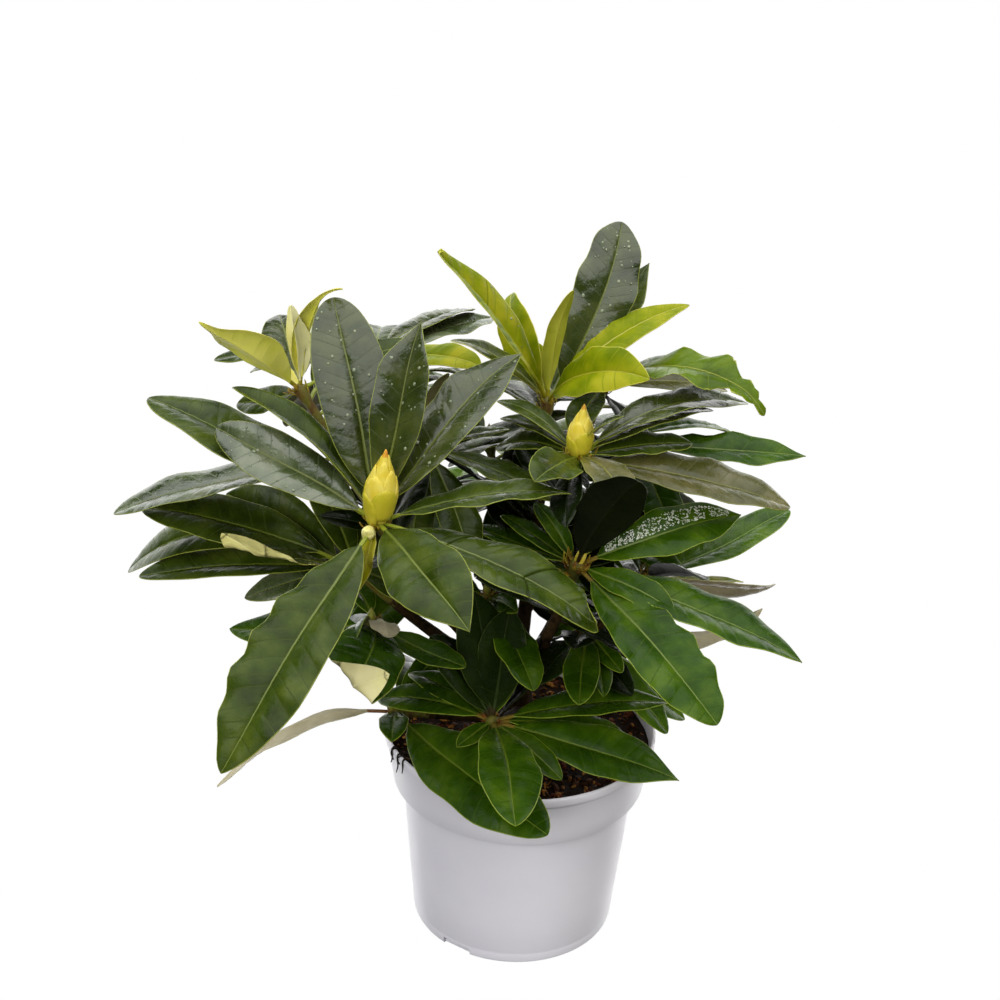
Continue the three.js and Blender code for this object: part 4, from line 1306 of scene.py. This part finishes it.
def make_soil(chance):
    outer = pot_inner(SOIL["level"]) - SOIL["wall_gap"]
    rings, sides = SOIL["rings"], SOIL["segments"]
    points = []
    for ring in range(rings):
        level = circle(outer * (ring + 0.4) / (rings - 0.6), 0, sides)
        points += [(x, y, soil_height(x, y)) for x, y, _ in level]
    step = POT["height"] - POT["collar_height"]
    lower = (step + POT["wall"] + 1, step, SOIL["foot"])
    for height in lower:
        points += circle(pot_inner(height) - SOIL["foot_gap"], height, sides)
    soil = Piece()
    soil.add(points, [face[::-1] for face in ring_faces(rings + len(lower), sides)], "soil")
    add_chips(soil, chance, outer)
    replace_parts(soil.build("soil_top", "soil"), "soil")


def chip_shape(chance, centre, size):
    """A broken flake of bark: a squashed, jittered prism with its corners pulled in."""
    long, wide, thick = size * chance.uniform(0.7, 1.6), size * chance.uniform(0.4, 0.9), size * 0.3
    over, aside = (Matrix.Rotation(chance.uniform(-CHIPS["tilt"], CHIPS["tilt"]), 3, axis) for axis in "XY")
    turn = Matrix.Rotation(chance.uniform(0, 2 * math.pi), 3, "Z") @ (over @ aside)
    points = []
    for level in (-1, 1):
        for angle in round_angles(CHIPS["corners"]):
            pull = chance.uniform(0.65, 1.1)
            spot = Vector((math.cos(angle) * long * pull, math.sin(angle) * wide * pull,
                           level * thick * chance.uniform(0.6, 1.2)))
            points.append(centre + array(turn @ spot))
    return points, ring_faces(2, CHIPS["corners"])


def add_chips(soil, chance, outer):
    for _ in range(CHIPS["count"]):
        radius = (outer - CHIPS["clear"]) * math.sqrt(chance.random())
        angle = chance.uniform(0, 2 * math.pi)
        size = chance.choice(CHIPS["sizes"])
        radius = min(radius, outer - size * CHIPS["reach"])
        x, y = radius * math.cos(angle), radius * math.sin(angle)
        centre = array([x, y, soil_height(x, y) + size * chance.uniform(-0.1, 0.3)])
        soil.add(*chip_shape(chance, centre, size), chance.choice(CHIPS["looks"]))


# Roots that hang over the pot's rim: degrees round, how low they end, and their sway in degrees.
ROOTLETS = ((203, 138, 2.5), (206, 143, -2), (209, 136, 2), (212, 145, -1.5), (214, 140, 1))
ROOTLET = {"thick": 0.95, "thin": 0.4, "rings": 22, "sides": 7}


def make_rootlets():
    """Thin dry roots, from the soil up over the rim and down the collar."""
    roots = Piece()
    soil, top, rim, inside = SOIL["level"], POT["height"], POT["rim_radius"], POT["rim_radius"] - POT["wall"]
    shares = np.linspace(0, 1, ROOTLET["rings"])
    radii = lerp(ROOTLET["thick"], ROOTLET["thin"], shares)
    for turn, low, sway in ROOTLETS:
        course = ((inside - 9, soil + 0.4, -sway), (inside - 3.5, soil + 4, 0),
                  (inside + 0.4, top + 0.6, sway * 0.4), (rim + 0.3, top + 0.5, sway * 0.5),
                  (rim + 1, lerp(low, top, 0.5), sway), (rim + 0.4, low, 0))
        curve = catmull_rom([direction(turn + aside, 0) * radius + array([0, 0, height])
                             for radius, height, aside in course])
        roots.add(*tube([curve.point(share) for share in shares], radii, ROOTLET["sides"]), "root")
    roots.build("rootlets", "soil")


# ---------------------------------------------------------------- materials
MATERIALS = {}
# The part of a noise's range that tones and roughness run over, and how fine the gloss is.
TONE_SPAN = (0.34, 0.66)
GLOSS_SPAN = (0.3, 0.7)
GLOSS_PATCH = 0.35


def linear(red, green, blue):
    """A colour as the eye names it, 0 to 255, turned into the renderer's light."""
    light = [part / 255 / 12.92 if part <= 10 else ((part / 255 + 0.055) / 1.055) ** 2.4
             for part in (red, green, blue)]
    return (*light, 1)


def ranged(tree, value, before, after):
    """A node's value taken from one range of numbers to another."""
    node = tree.nodes.new("ShaderNodeMapRange")
    for name, number in zip(("From Min", "From Max", "To Min", "To Max"), (*before, *after)):
        node.inputs[name].default_value = number
    tree.links.new(value, node.inputs["Value"])
    return node.outputs["Result"]


def finish_material(name, tones, patch, roughness, bumps, specular=0.5):
    """A surface of one tone, or of several in patches of a size in mm, with roughness from low to
    high and bumps as (size in mm, depth in mm) pairs."""
    material = bpy.data.materials.new(name)
    material.use_nodes = True
    tree = material.node_tree
    sockets = tree.nodes["Principled BSDF"].inputs
    sockets["Specular IOR Level"].default_value = specular
    place = tree.nodes.new("ShaderNodeTexCoord").outputs["Object"]

    def grain(size, detail=2.0):
        texture = tree.nodes.new("ShaderNodeTexNoise")
        texture.inputs["Scale"].default_value = 1 / (size * MM)
        texture.inputs["Detail"].default_value = detail
        tree.links.new(place, texture.inputs["Vector"])
        return texture.outputs["Fac"]

    if len(tones) == 1:
        sockets["Base Color"].default_value = linear(*tones[0])
    else:
        ramp = tree.nodes.new("ShaderNodeValToRGB")
        marks = ramp.color_ramp.elements
        for number, tone in enumerate(tones):
            spot = lerp(*TONE_SPAN, number / (len(tones) - 1))
            mark = marks[number] if number < 2 else marks.new(spot)
            mark.position, mark.color = spot, linear(*tone)
        tree.links.new(grain(patch, detail=3.0), ramp.inputs["Fac"])
        tree.links.new(ramp.outputs["Color"], sockets["Base Color"])
    gloss = ranged(tree, grain(patch * GLOSS_PATCH), GLOSS_SPAN, roughness)
    tree.links.new(gloss, sockets["Roughness"])
    normal = None
    for size, depth in bumps:
        bump = tree.nodes.new("ShaderNodeBump")
        bump.inputs["Distance"].default_value = depth * MM
        tree.links.new(grain(size), bump.inputs["Height"])
        if normal:
            tree.links.new(normal, bump.inputs["Normal"])
        normal = bump.outputs["Normal"]
    tree.links.new(normal, sockets["Normal"])
    MATERIALS[name] = material


DULL_UNDER = ((110, 106, 66), (128, 122, 84))
# For each colouring: blade tones, midrib, margin, underside tones, petiole.
LEAF_TONES = {
    "olive": (((32, 44, 5), (46, 60, 10), (62, 74, 20)), (84, 96, 24), (122, 130, 42),
              DULL_UNDER, (122, 132, 30)),
    "satin": (((32, 42, 8), (44, 54, 14), (60, 68, 26)), (86, 94, 30), (118, 126, 44),
              DULL_UNDER, (122, 132, 30)),
    # Painted sheen: grey-green tones, paler than the other blades, stand in for part of a silvery shine,
    # over a strong real gloss.
    "wet": (((38, 50, 18), (62, 74, 40), (92, 100, 72)), (86, 94, 40), (124, 130, 60),
            DULL_UNDER, (122, 132, 30)),
    "dull": (((62, 64, 22), (76, 76, 34), (94, 90, 52)), (104, 104, 46), (122, 124, 54),
             ((104, 100, 66), (122, 116, 84)), (122, 126, 34)),
    "deep": (((30, 54, 2), (42, 68, 4), (62, 86, 10)), (82, 100, 16), (120, 136, 34),
             ((96, 104, 52), (114, 118, 68)), (116, 98, 30)),
    "folded": (((26, 50, 2), (38, 64, 4), (56, 80, 10)), (78, 98, 16), (150, 156, 70),
               ((214, 208, 144), (228, 220, 166)), (116, 98, 30)),
    "fresh": (((40, 66, 2), (56, 84, 4), (74, 100, 12)), (92, 116, 20), (126, 146, 40),
              ((124, 124, 74), (142, 138, 92)), (122, 116, 30)),
    "bright": (((54, 74, 1), (74, 96, 2), (90, 106, 8)), (112, 118, 16), (140, 146, 40),
               ((136, 138, 66), (152, 150, 84)), (130, 124, 30)),
    "young": (((88, 104, 2), (112, 122, 4), (138, 138, 24)), (146, 146, 36), (176, 170, 60),
              ((150, 154, 34), (172, 172, 60)), (142, 136, 20)),
    # Young leaves painted with light: bright yellow-green tones, and a brighter underside, stand in for
    # light shining through the blade.
    "lime": (((142, 144, 6), (164, 160, 20), (184, 176, 70)), (182, 176, 60), (200, 190, 90),
             ((238, 238, 84), (246, 242, 120)), (150, 142, 24)),
    "pale": (((206, 200, 96), (222, 212, 130)), (216, 208, 120), (226, 212, 136),
             ((246, 242, 168), (250, 246, 190)), (164, 154, 44)),
    "edged": (((40, 50, 6), (58, 68, 14), (84, 88, 34)), (106, 112, 36), (178, 172, 78),
              ((190, 184, 112), (208, 202, 132)), (130, 124, 34)),
    "beige": (((154, 144, 112), (176, 166, 134)), (186, 176, 144), (176, 170, 126),
              ((150, 142, 110), (170, 162, 132)), (108, 72, 38)),
    # Painted shade: dark green tones on both faces, for leaves that lie in the crown's shadow.
    "dim": (((18, 30, 4), (30, 44, 10)), (42, 56, 14), (70, 84, 30),
            ((30, 34, 15), (40, 44, 22)), (46, 38, 14)),
    # Painted shade: near-black on both faces, standing in for the deep shadow inside the crown.
    "shade": (((8, 16, 2), (16, 26, 4)), (24, 36, 8), (40, 50, 14),
              ((15, 19, 7), (22, 26, 11)), (40, 32, 12)),
}
# How strongly a blade shines, and its roughness with its bumps as (size, depth) in mm.
GLOSS = {"young": 0.07, "lime": 0.07, "pale": 0.07, "bright": 0.12, "satin": 0.62, "wet": 0.9,
         "dull": 0.4, "deep": 0.13, "folded": 0.13}
PLAIN_GLOSS = 0.17
YOUNG_BLADE = ((0.34, 0.55), ((2.2, 0.12), (0.5, 0.04)))
WET_BLADE = ((0.1, 0.34), ((6.0, 0.42), (1.6, 0.1)))
OLD_BLADE = ((0.16, 0.38), ((6.0, 0.42), (1.6, 0.1)))
BLADES = {"young": YOUNG_BLADE, "lime": YOUNG_BLADE, "pale": YOUNG_BLADE,
          "satin": WET_BLADE, "wet": WET_BLADE}
# The finishes of a leaf's other parts, as finish_material takes them: patch, roughness and bumps.
BLADE_PATCH = 22
LINE = (10, (0.35, 0.5), ((1.0, 0.04),))
UNDER = (20, (0.55, 0.7), ((0.6, 0.06),), 0.3)
UNDER_RIB = (10, (0.5, 0.6), ((1.0, 0.04),))
STALK = (6, (0.4, 0.55), ((0.8, 0.05),))

# What else there is: patch, roughness, bumps and shine, then the tones of each look that has them.
FINISHES = (
    (6, (0.03, 0.06), ((2.0, 0.01),), 0.7, {
        # Painted highlight: opaque drops paler than the leaf under them stand in for light in clear water.
        "drop": ((96, 106, 74), (128, 136, 110)),
        # Painted glints: near-white tones stand in for the sparkle of light on a band of fine spray.
        "spray": ((150, 158, 130), (214, 218, 204)),
    }),
    (4, (0.6, 0.8), ((0.6, 0.1),), 0.3, {"root": ((26, 20, 16), (46, 36, 28))}),
    (7, (0.7, 0.9), ((1.6, 0.35), (0.5, 0.12)), 0.25, {"bark": ((30, 22, 12), (66, 50, 28), (44, 32, 18))}),
    (8, (0.5, 0.7), ((0.9, 0.12),), 0.5, {"twig": ((84, 86, 28), (106, 102, 38), (92, 68, 32))}),
    (4, (0.45, 0.6), ((0.7, 0.08),), 0.5, {
        "bract": ((164, 150, 40), (150, 112, 34)),
        "bract_warm": ((120, 62, 26), (138, 96, 40)),
    }),
    (5, (0.35, 0.5), ((1.2, 0.08), (0.4, 0.03)), 0.5, {"bud_scale": ((208, 186, 52), (214, 198, 86))}),
    (5, (0.35, 0.5), ((1.2, 0.08),), 0.5, {
        "bud_low": ((176, 168, 34), (190, 176, 48)),
        "bud_tip": ((206, 164, 44), (196, 128, 40)),
    }),
    (4, (0.4, 0.55), ((0.9, 0.06),), 0.5, {
        "leafbud_scale": ((112, 124, 40), (136, 132, 50)),
        "leafbud_low": ((112, 92, 40), (124, 100, 44)),
        "leafbud_tip": ((150, 116, 50), (140, 98, 44)),
    }),
    (4, (0.35, 0.5), ((1.0, 0.05),), 0.5, {
        f"side_bud_{part}": ((222, 214, 120), (228, 222, 150)) for part in ("scale", "low", "tip")
    }),
    (60, (0.38, 0.46), ((14, 0.06), (0.5, 0.012)), 0.45, {"pot": ((232, 230, 236), (237, 235, 240))}),
    (5, (0.85, 0.95), ((2.0, 0.9), (0.6, 0.35)), 0.2, {"soil": ((22, 14, 9), (44, 28, 17), (30, 19, 11))}),
    (3, (0.7, 0.9), ((0.7, 0.2),), 0.3, {
        "chip_dark": ((26, 16, 10), (40, 24, 14)),
        "chip_brown": ((64, 36, 20), (92, 54, 30)),
        "chip_red": ((96, 44, 26), (120, 62, 34)),
        "chip_tan": ((150, 98, 46), (180, 126, 56)),
    }),
)


def make_leaf_materials():
    for name, (blade, rib, margin, under, stalk) in LEAF_TONES.items():
        gloss = GLOSS.get(name, PLAIN_GLOSS)
        finish_material(f"{name}_top", blade, BLADE_PATCH, *BLADES.get(name, OLD_BLADE), gloss)
        vein = [lerp(dark, light, 0.5) for dark, light in zip(blade[0], blade[-1])]
        finish_material(f"{name}_vein", (vein,), *LINE, gloss)
        finish_material(f"{name}_rib", (rib,), *LINE)
        finish_material(f"{name}_margin", (margin,), *LINE)
        finish_material(f"{name}_under", under, *UNDER)
        finish_material(f"{name}_underrib", under[1:], *UNDER_RIB)
        finish_material(f"{name}_stalk", (stalk,), *STALK)


def make_other_materials():
    for patch, roughness, bumps, specular, looks in FINISHES:
        for name, tones in looks.items():
            finish_material(name, tones, patch, roughness, bumps, specular)


# ---------------------------------------------------------------- camera, floor and light
# The studio, in metres, and its lamps: where each stands, its size, its power and its tint.
STUDIO = {"reach": 12, "aim": (0, 0, 0.25)}
LAMPS = {
    "back": ((-0.3, 1.1, 1.8), (1.5, 0.8), 26, (1, 1, 1)),
    "side": ((1.6, -1.3, 0.95), (1.2, 1.2), 19, (1, 0.98, 0.95)),
    "front": ((-1.0, -1.7, 1.1), (1.4, 1.0), 29, (0.98, 0.98, 1)),
}
# How bright the light from all round is, and where each part of it starts and is full, as parts of
# its direction: upwards for the ceiling, and backwards and downwards for the backdrop.
SKY = {
    "walls": 0.05,
    "ceiling": 2.3,
    "backdrop": 1.9,
    "ceiling_up": (0.68, 0.76),
    "backdrop_back": (0.35, 0.6),
    "backdrop_down": (0.5, 0.4),
}


def camera_place():
    """Where the camera stands, in mm, and how it is turned."""
    tilt = math.radians(CAMERA["elevation"])
    away = array([0, -math.cos(tilt), math.sin(tilt)])
    eye = Vector(array(CAMERA["target"]) + away * CAMERA["distance"]) * MM
    look = (-Vector(away)).to_track_quat("-Z", "Y").to_matrix()
    return eye, look @ Matrix.Rotation(math.radians(CAMERA["roll"]), 3, "Z")


def make_camera():
    camera = bpy.data.objects.new("camera", bpy.data.cameras.new("camera"))
    camera.data.lens, camera.data.sensor_width = CAMERA["lens"], CAMERA["sensor"]
    camera.location, turn = camera_place()
    camera.rotation_euler = turn.to_euler()
    bpy.context.scene.collection.objects.link(camera)
    bpy.context.scene.camera = camera


def make_floor():
    """A white floor with walls far off, that light nothing and take no shadow."""
    reach = STUDIO["reach"]
    corners = ((-reach, -reach), (reach, -reach), (reach, reach), (-reach, reach))
    walls = [(side, (side + 1) % 4, (side + 1) % 4 + 4, side + 4) for side in range(4)]
    mesh = bpy.data.meshes.new("floor")
    mesh.from_pydata([(*corner, height) for height in (0, reach) for corner in corners],
                     [], [(0, 1, 2, 3), *walls])
    paint = bpy.data.materials.new("floor")
    paint.use_nodes = True
    sockets = paint.node_tree.nodes["Principled BSDF"].inputs
    for name, value in (("Base Color", (0, 0, 0, 1)), ("Roughness", 1), ("Specular IOR Level", 0),
                        ("Emission Color", (1, 1, 1, 1)), ("Emission Strength", 1)):
        sockets[name].default_value = value
    mesh.materials.append(paint)
    floor = bpy.data.objects.new("floor", mesh)
    bpy.context.scene.collection.objects.link(floor)
    floor.visible_diffuse = False
    floor.visible_glossy = False
    floor.visible_shadow = False


def make_lamps():
    for name, (place, size, power, tint) in LAMPS.items():
        lamp = bpy.data.lights.new(name, "AREA")
        lamp.shape, lamp.size, lamp.size_y = "RECTANGLE", *size
        lamp.energy, lamp.color = power, tint
        light = bpy.data.objects.new(name, lamp)
        light.location = place
        way = Vector(STUDIO["aim"]) - Vector(place)
        light.rotation_euler = way.to_track_quat("-Z", "Y").to_euler()
        light.visible_glossy = False
        bpy.context.scene.collection.objects.link(light)


def make_sky():
    """A studio's light: a bright ceiling, dim walls and a white backdrop behind the plant."""
    world = bpy.data.worlds.new("studio")
    world.use_nodes = True
    tree = world.node_tree
    place = tree.nodes.new("ShaderNodeTexCoord")
    split = tree.nodes.new("ShaderNodeSeparateXYZ")
    tree.links.new(place.outputs["Generated"], split.inputs["Vector"])

    def join(operation, first, second):
        node = tree.nodes.new("ShaderNodeMath")
        node.operation = operation
        tree.links.new(first, node.inputs[0])
        tree.links.new(second, node.inputs[1])
        return node.outputs["Value"]

    back, up = split.outputs["Y"], split.outputs["Z"]
    ceiling = ranged(tree, up, SKY["ceiling_up"], (SKY["walls"], SKY["ceiling"]))
    backdrop = join("MULTIPLY", ranged(tree, back, SKY["backdrop_back"], (0, SKY["backdrop"])),
                    ranged(tree, up, SKY["backdrop_down"], (0, 1)))
    light = tree.nodes["Background"].inputs
    light["Color"].default_value = (1, 1, 1, 1)
    tree.links.new(join("ADD", ceiling, backdrop), light["Strength"])
    bpy.context.scene.world = world


def make_studio():
    make_floor()
    make_sky()
    make_lamps()
    view = bpy.context.scene.view_settings
    view.view_transform = "Standard"
    view.look = "None"


# ---------------------------------------------------------------- all of it
make_camera()
make_studio()
make_leaf_materials()
make_other_materials()
make_pot()
make_soil(random.Random("soil"))
make_rootlets()
all_limbs = grow_limbs()
make_wood(all_limbs)
plant = {name: grow_leaves(name, all_limbs) for name in SHOOTS}
grow_inner(all_limbs, plant)
make_drops(plant)
for shoot_name, grown_leaves in plant.items():
    make_shoot(shoot_name, all_limbs, grown_leaves)
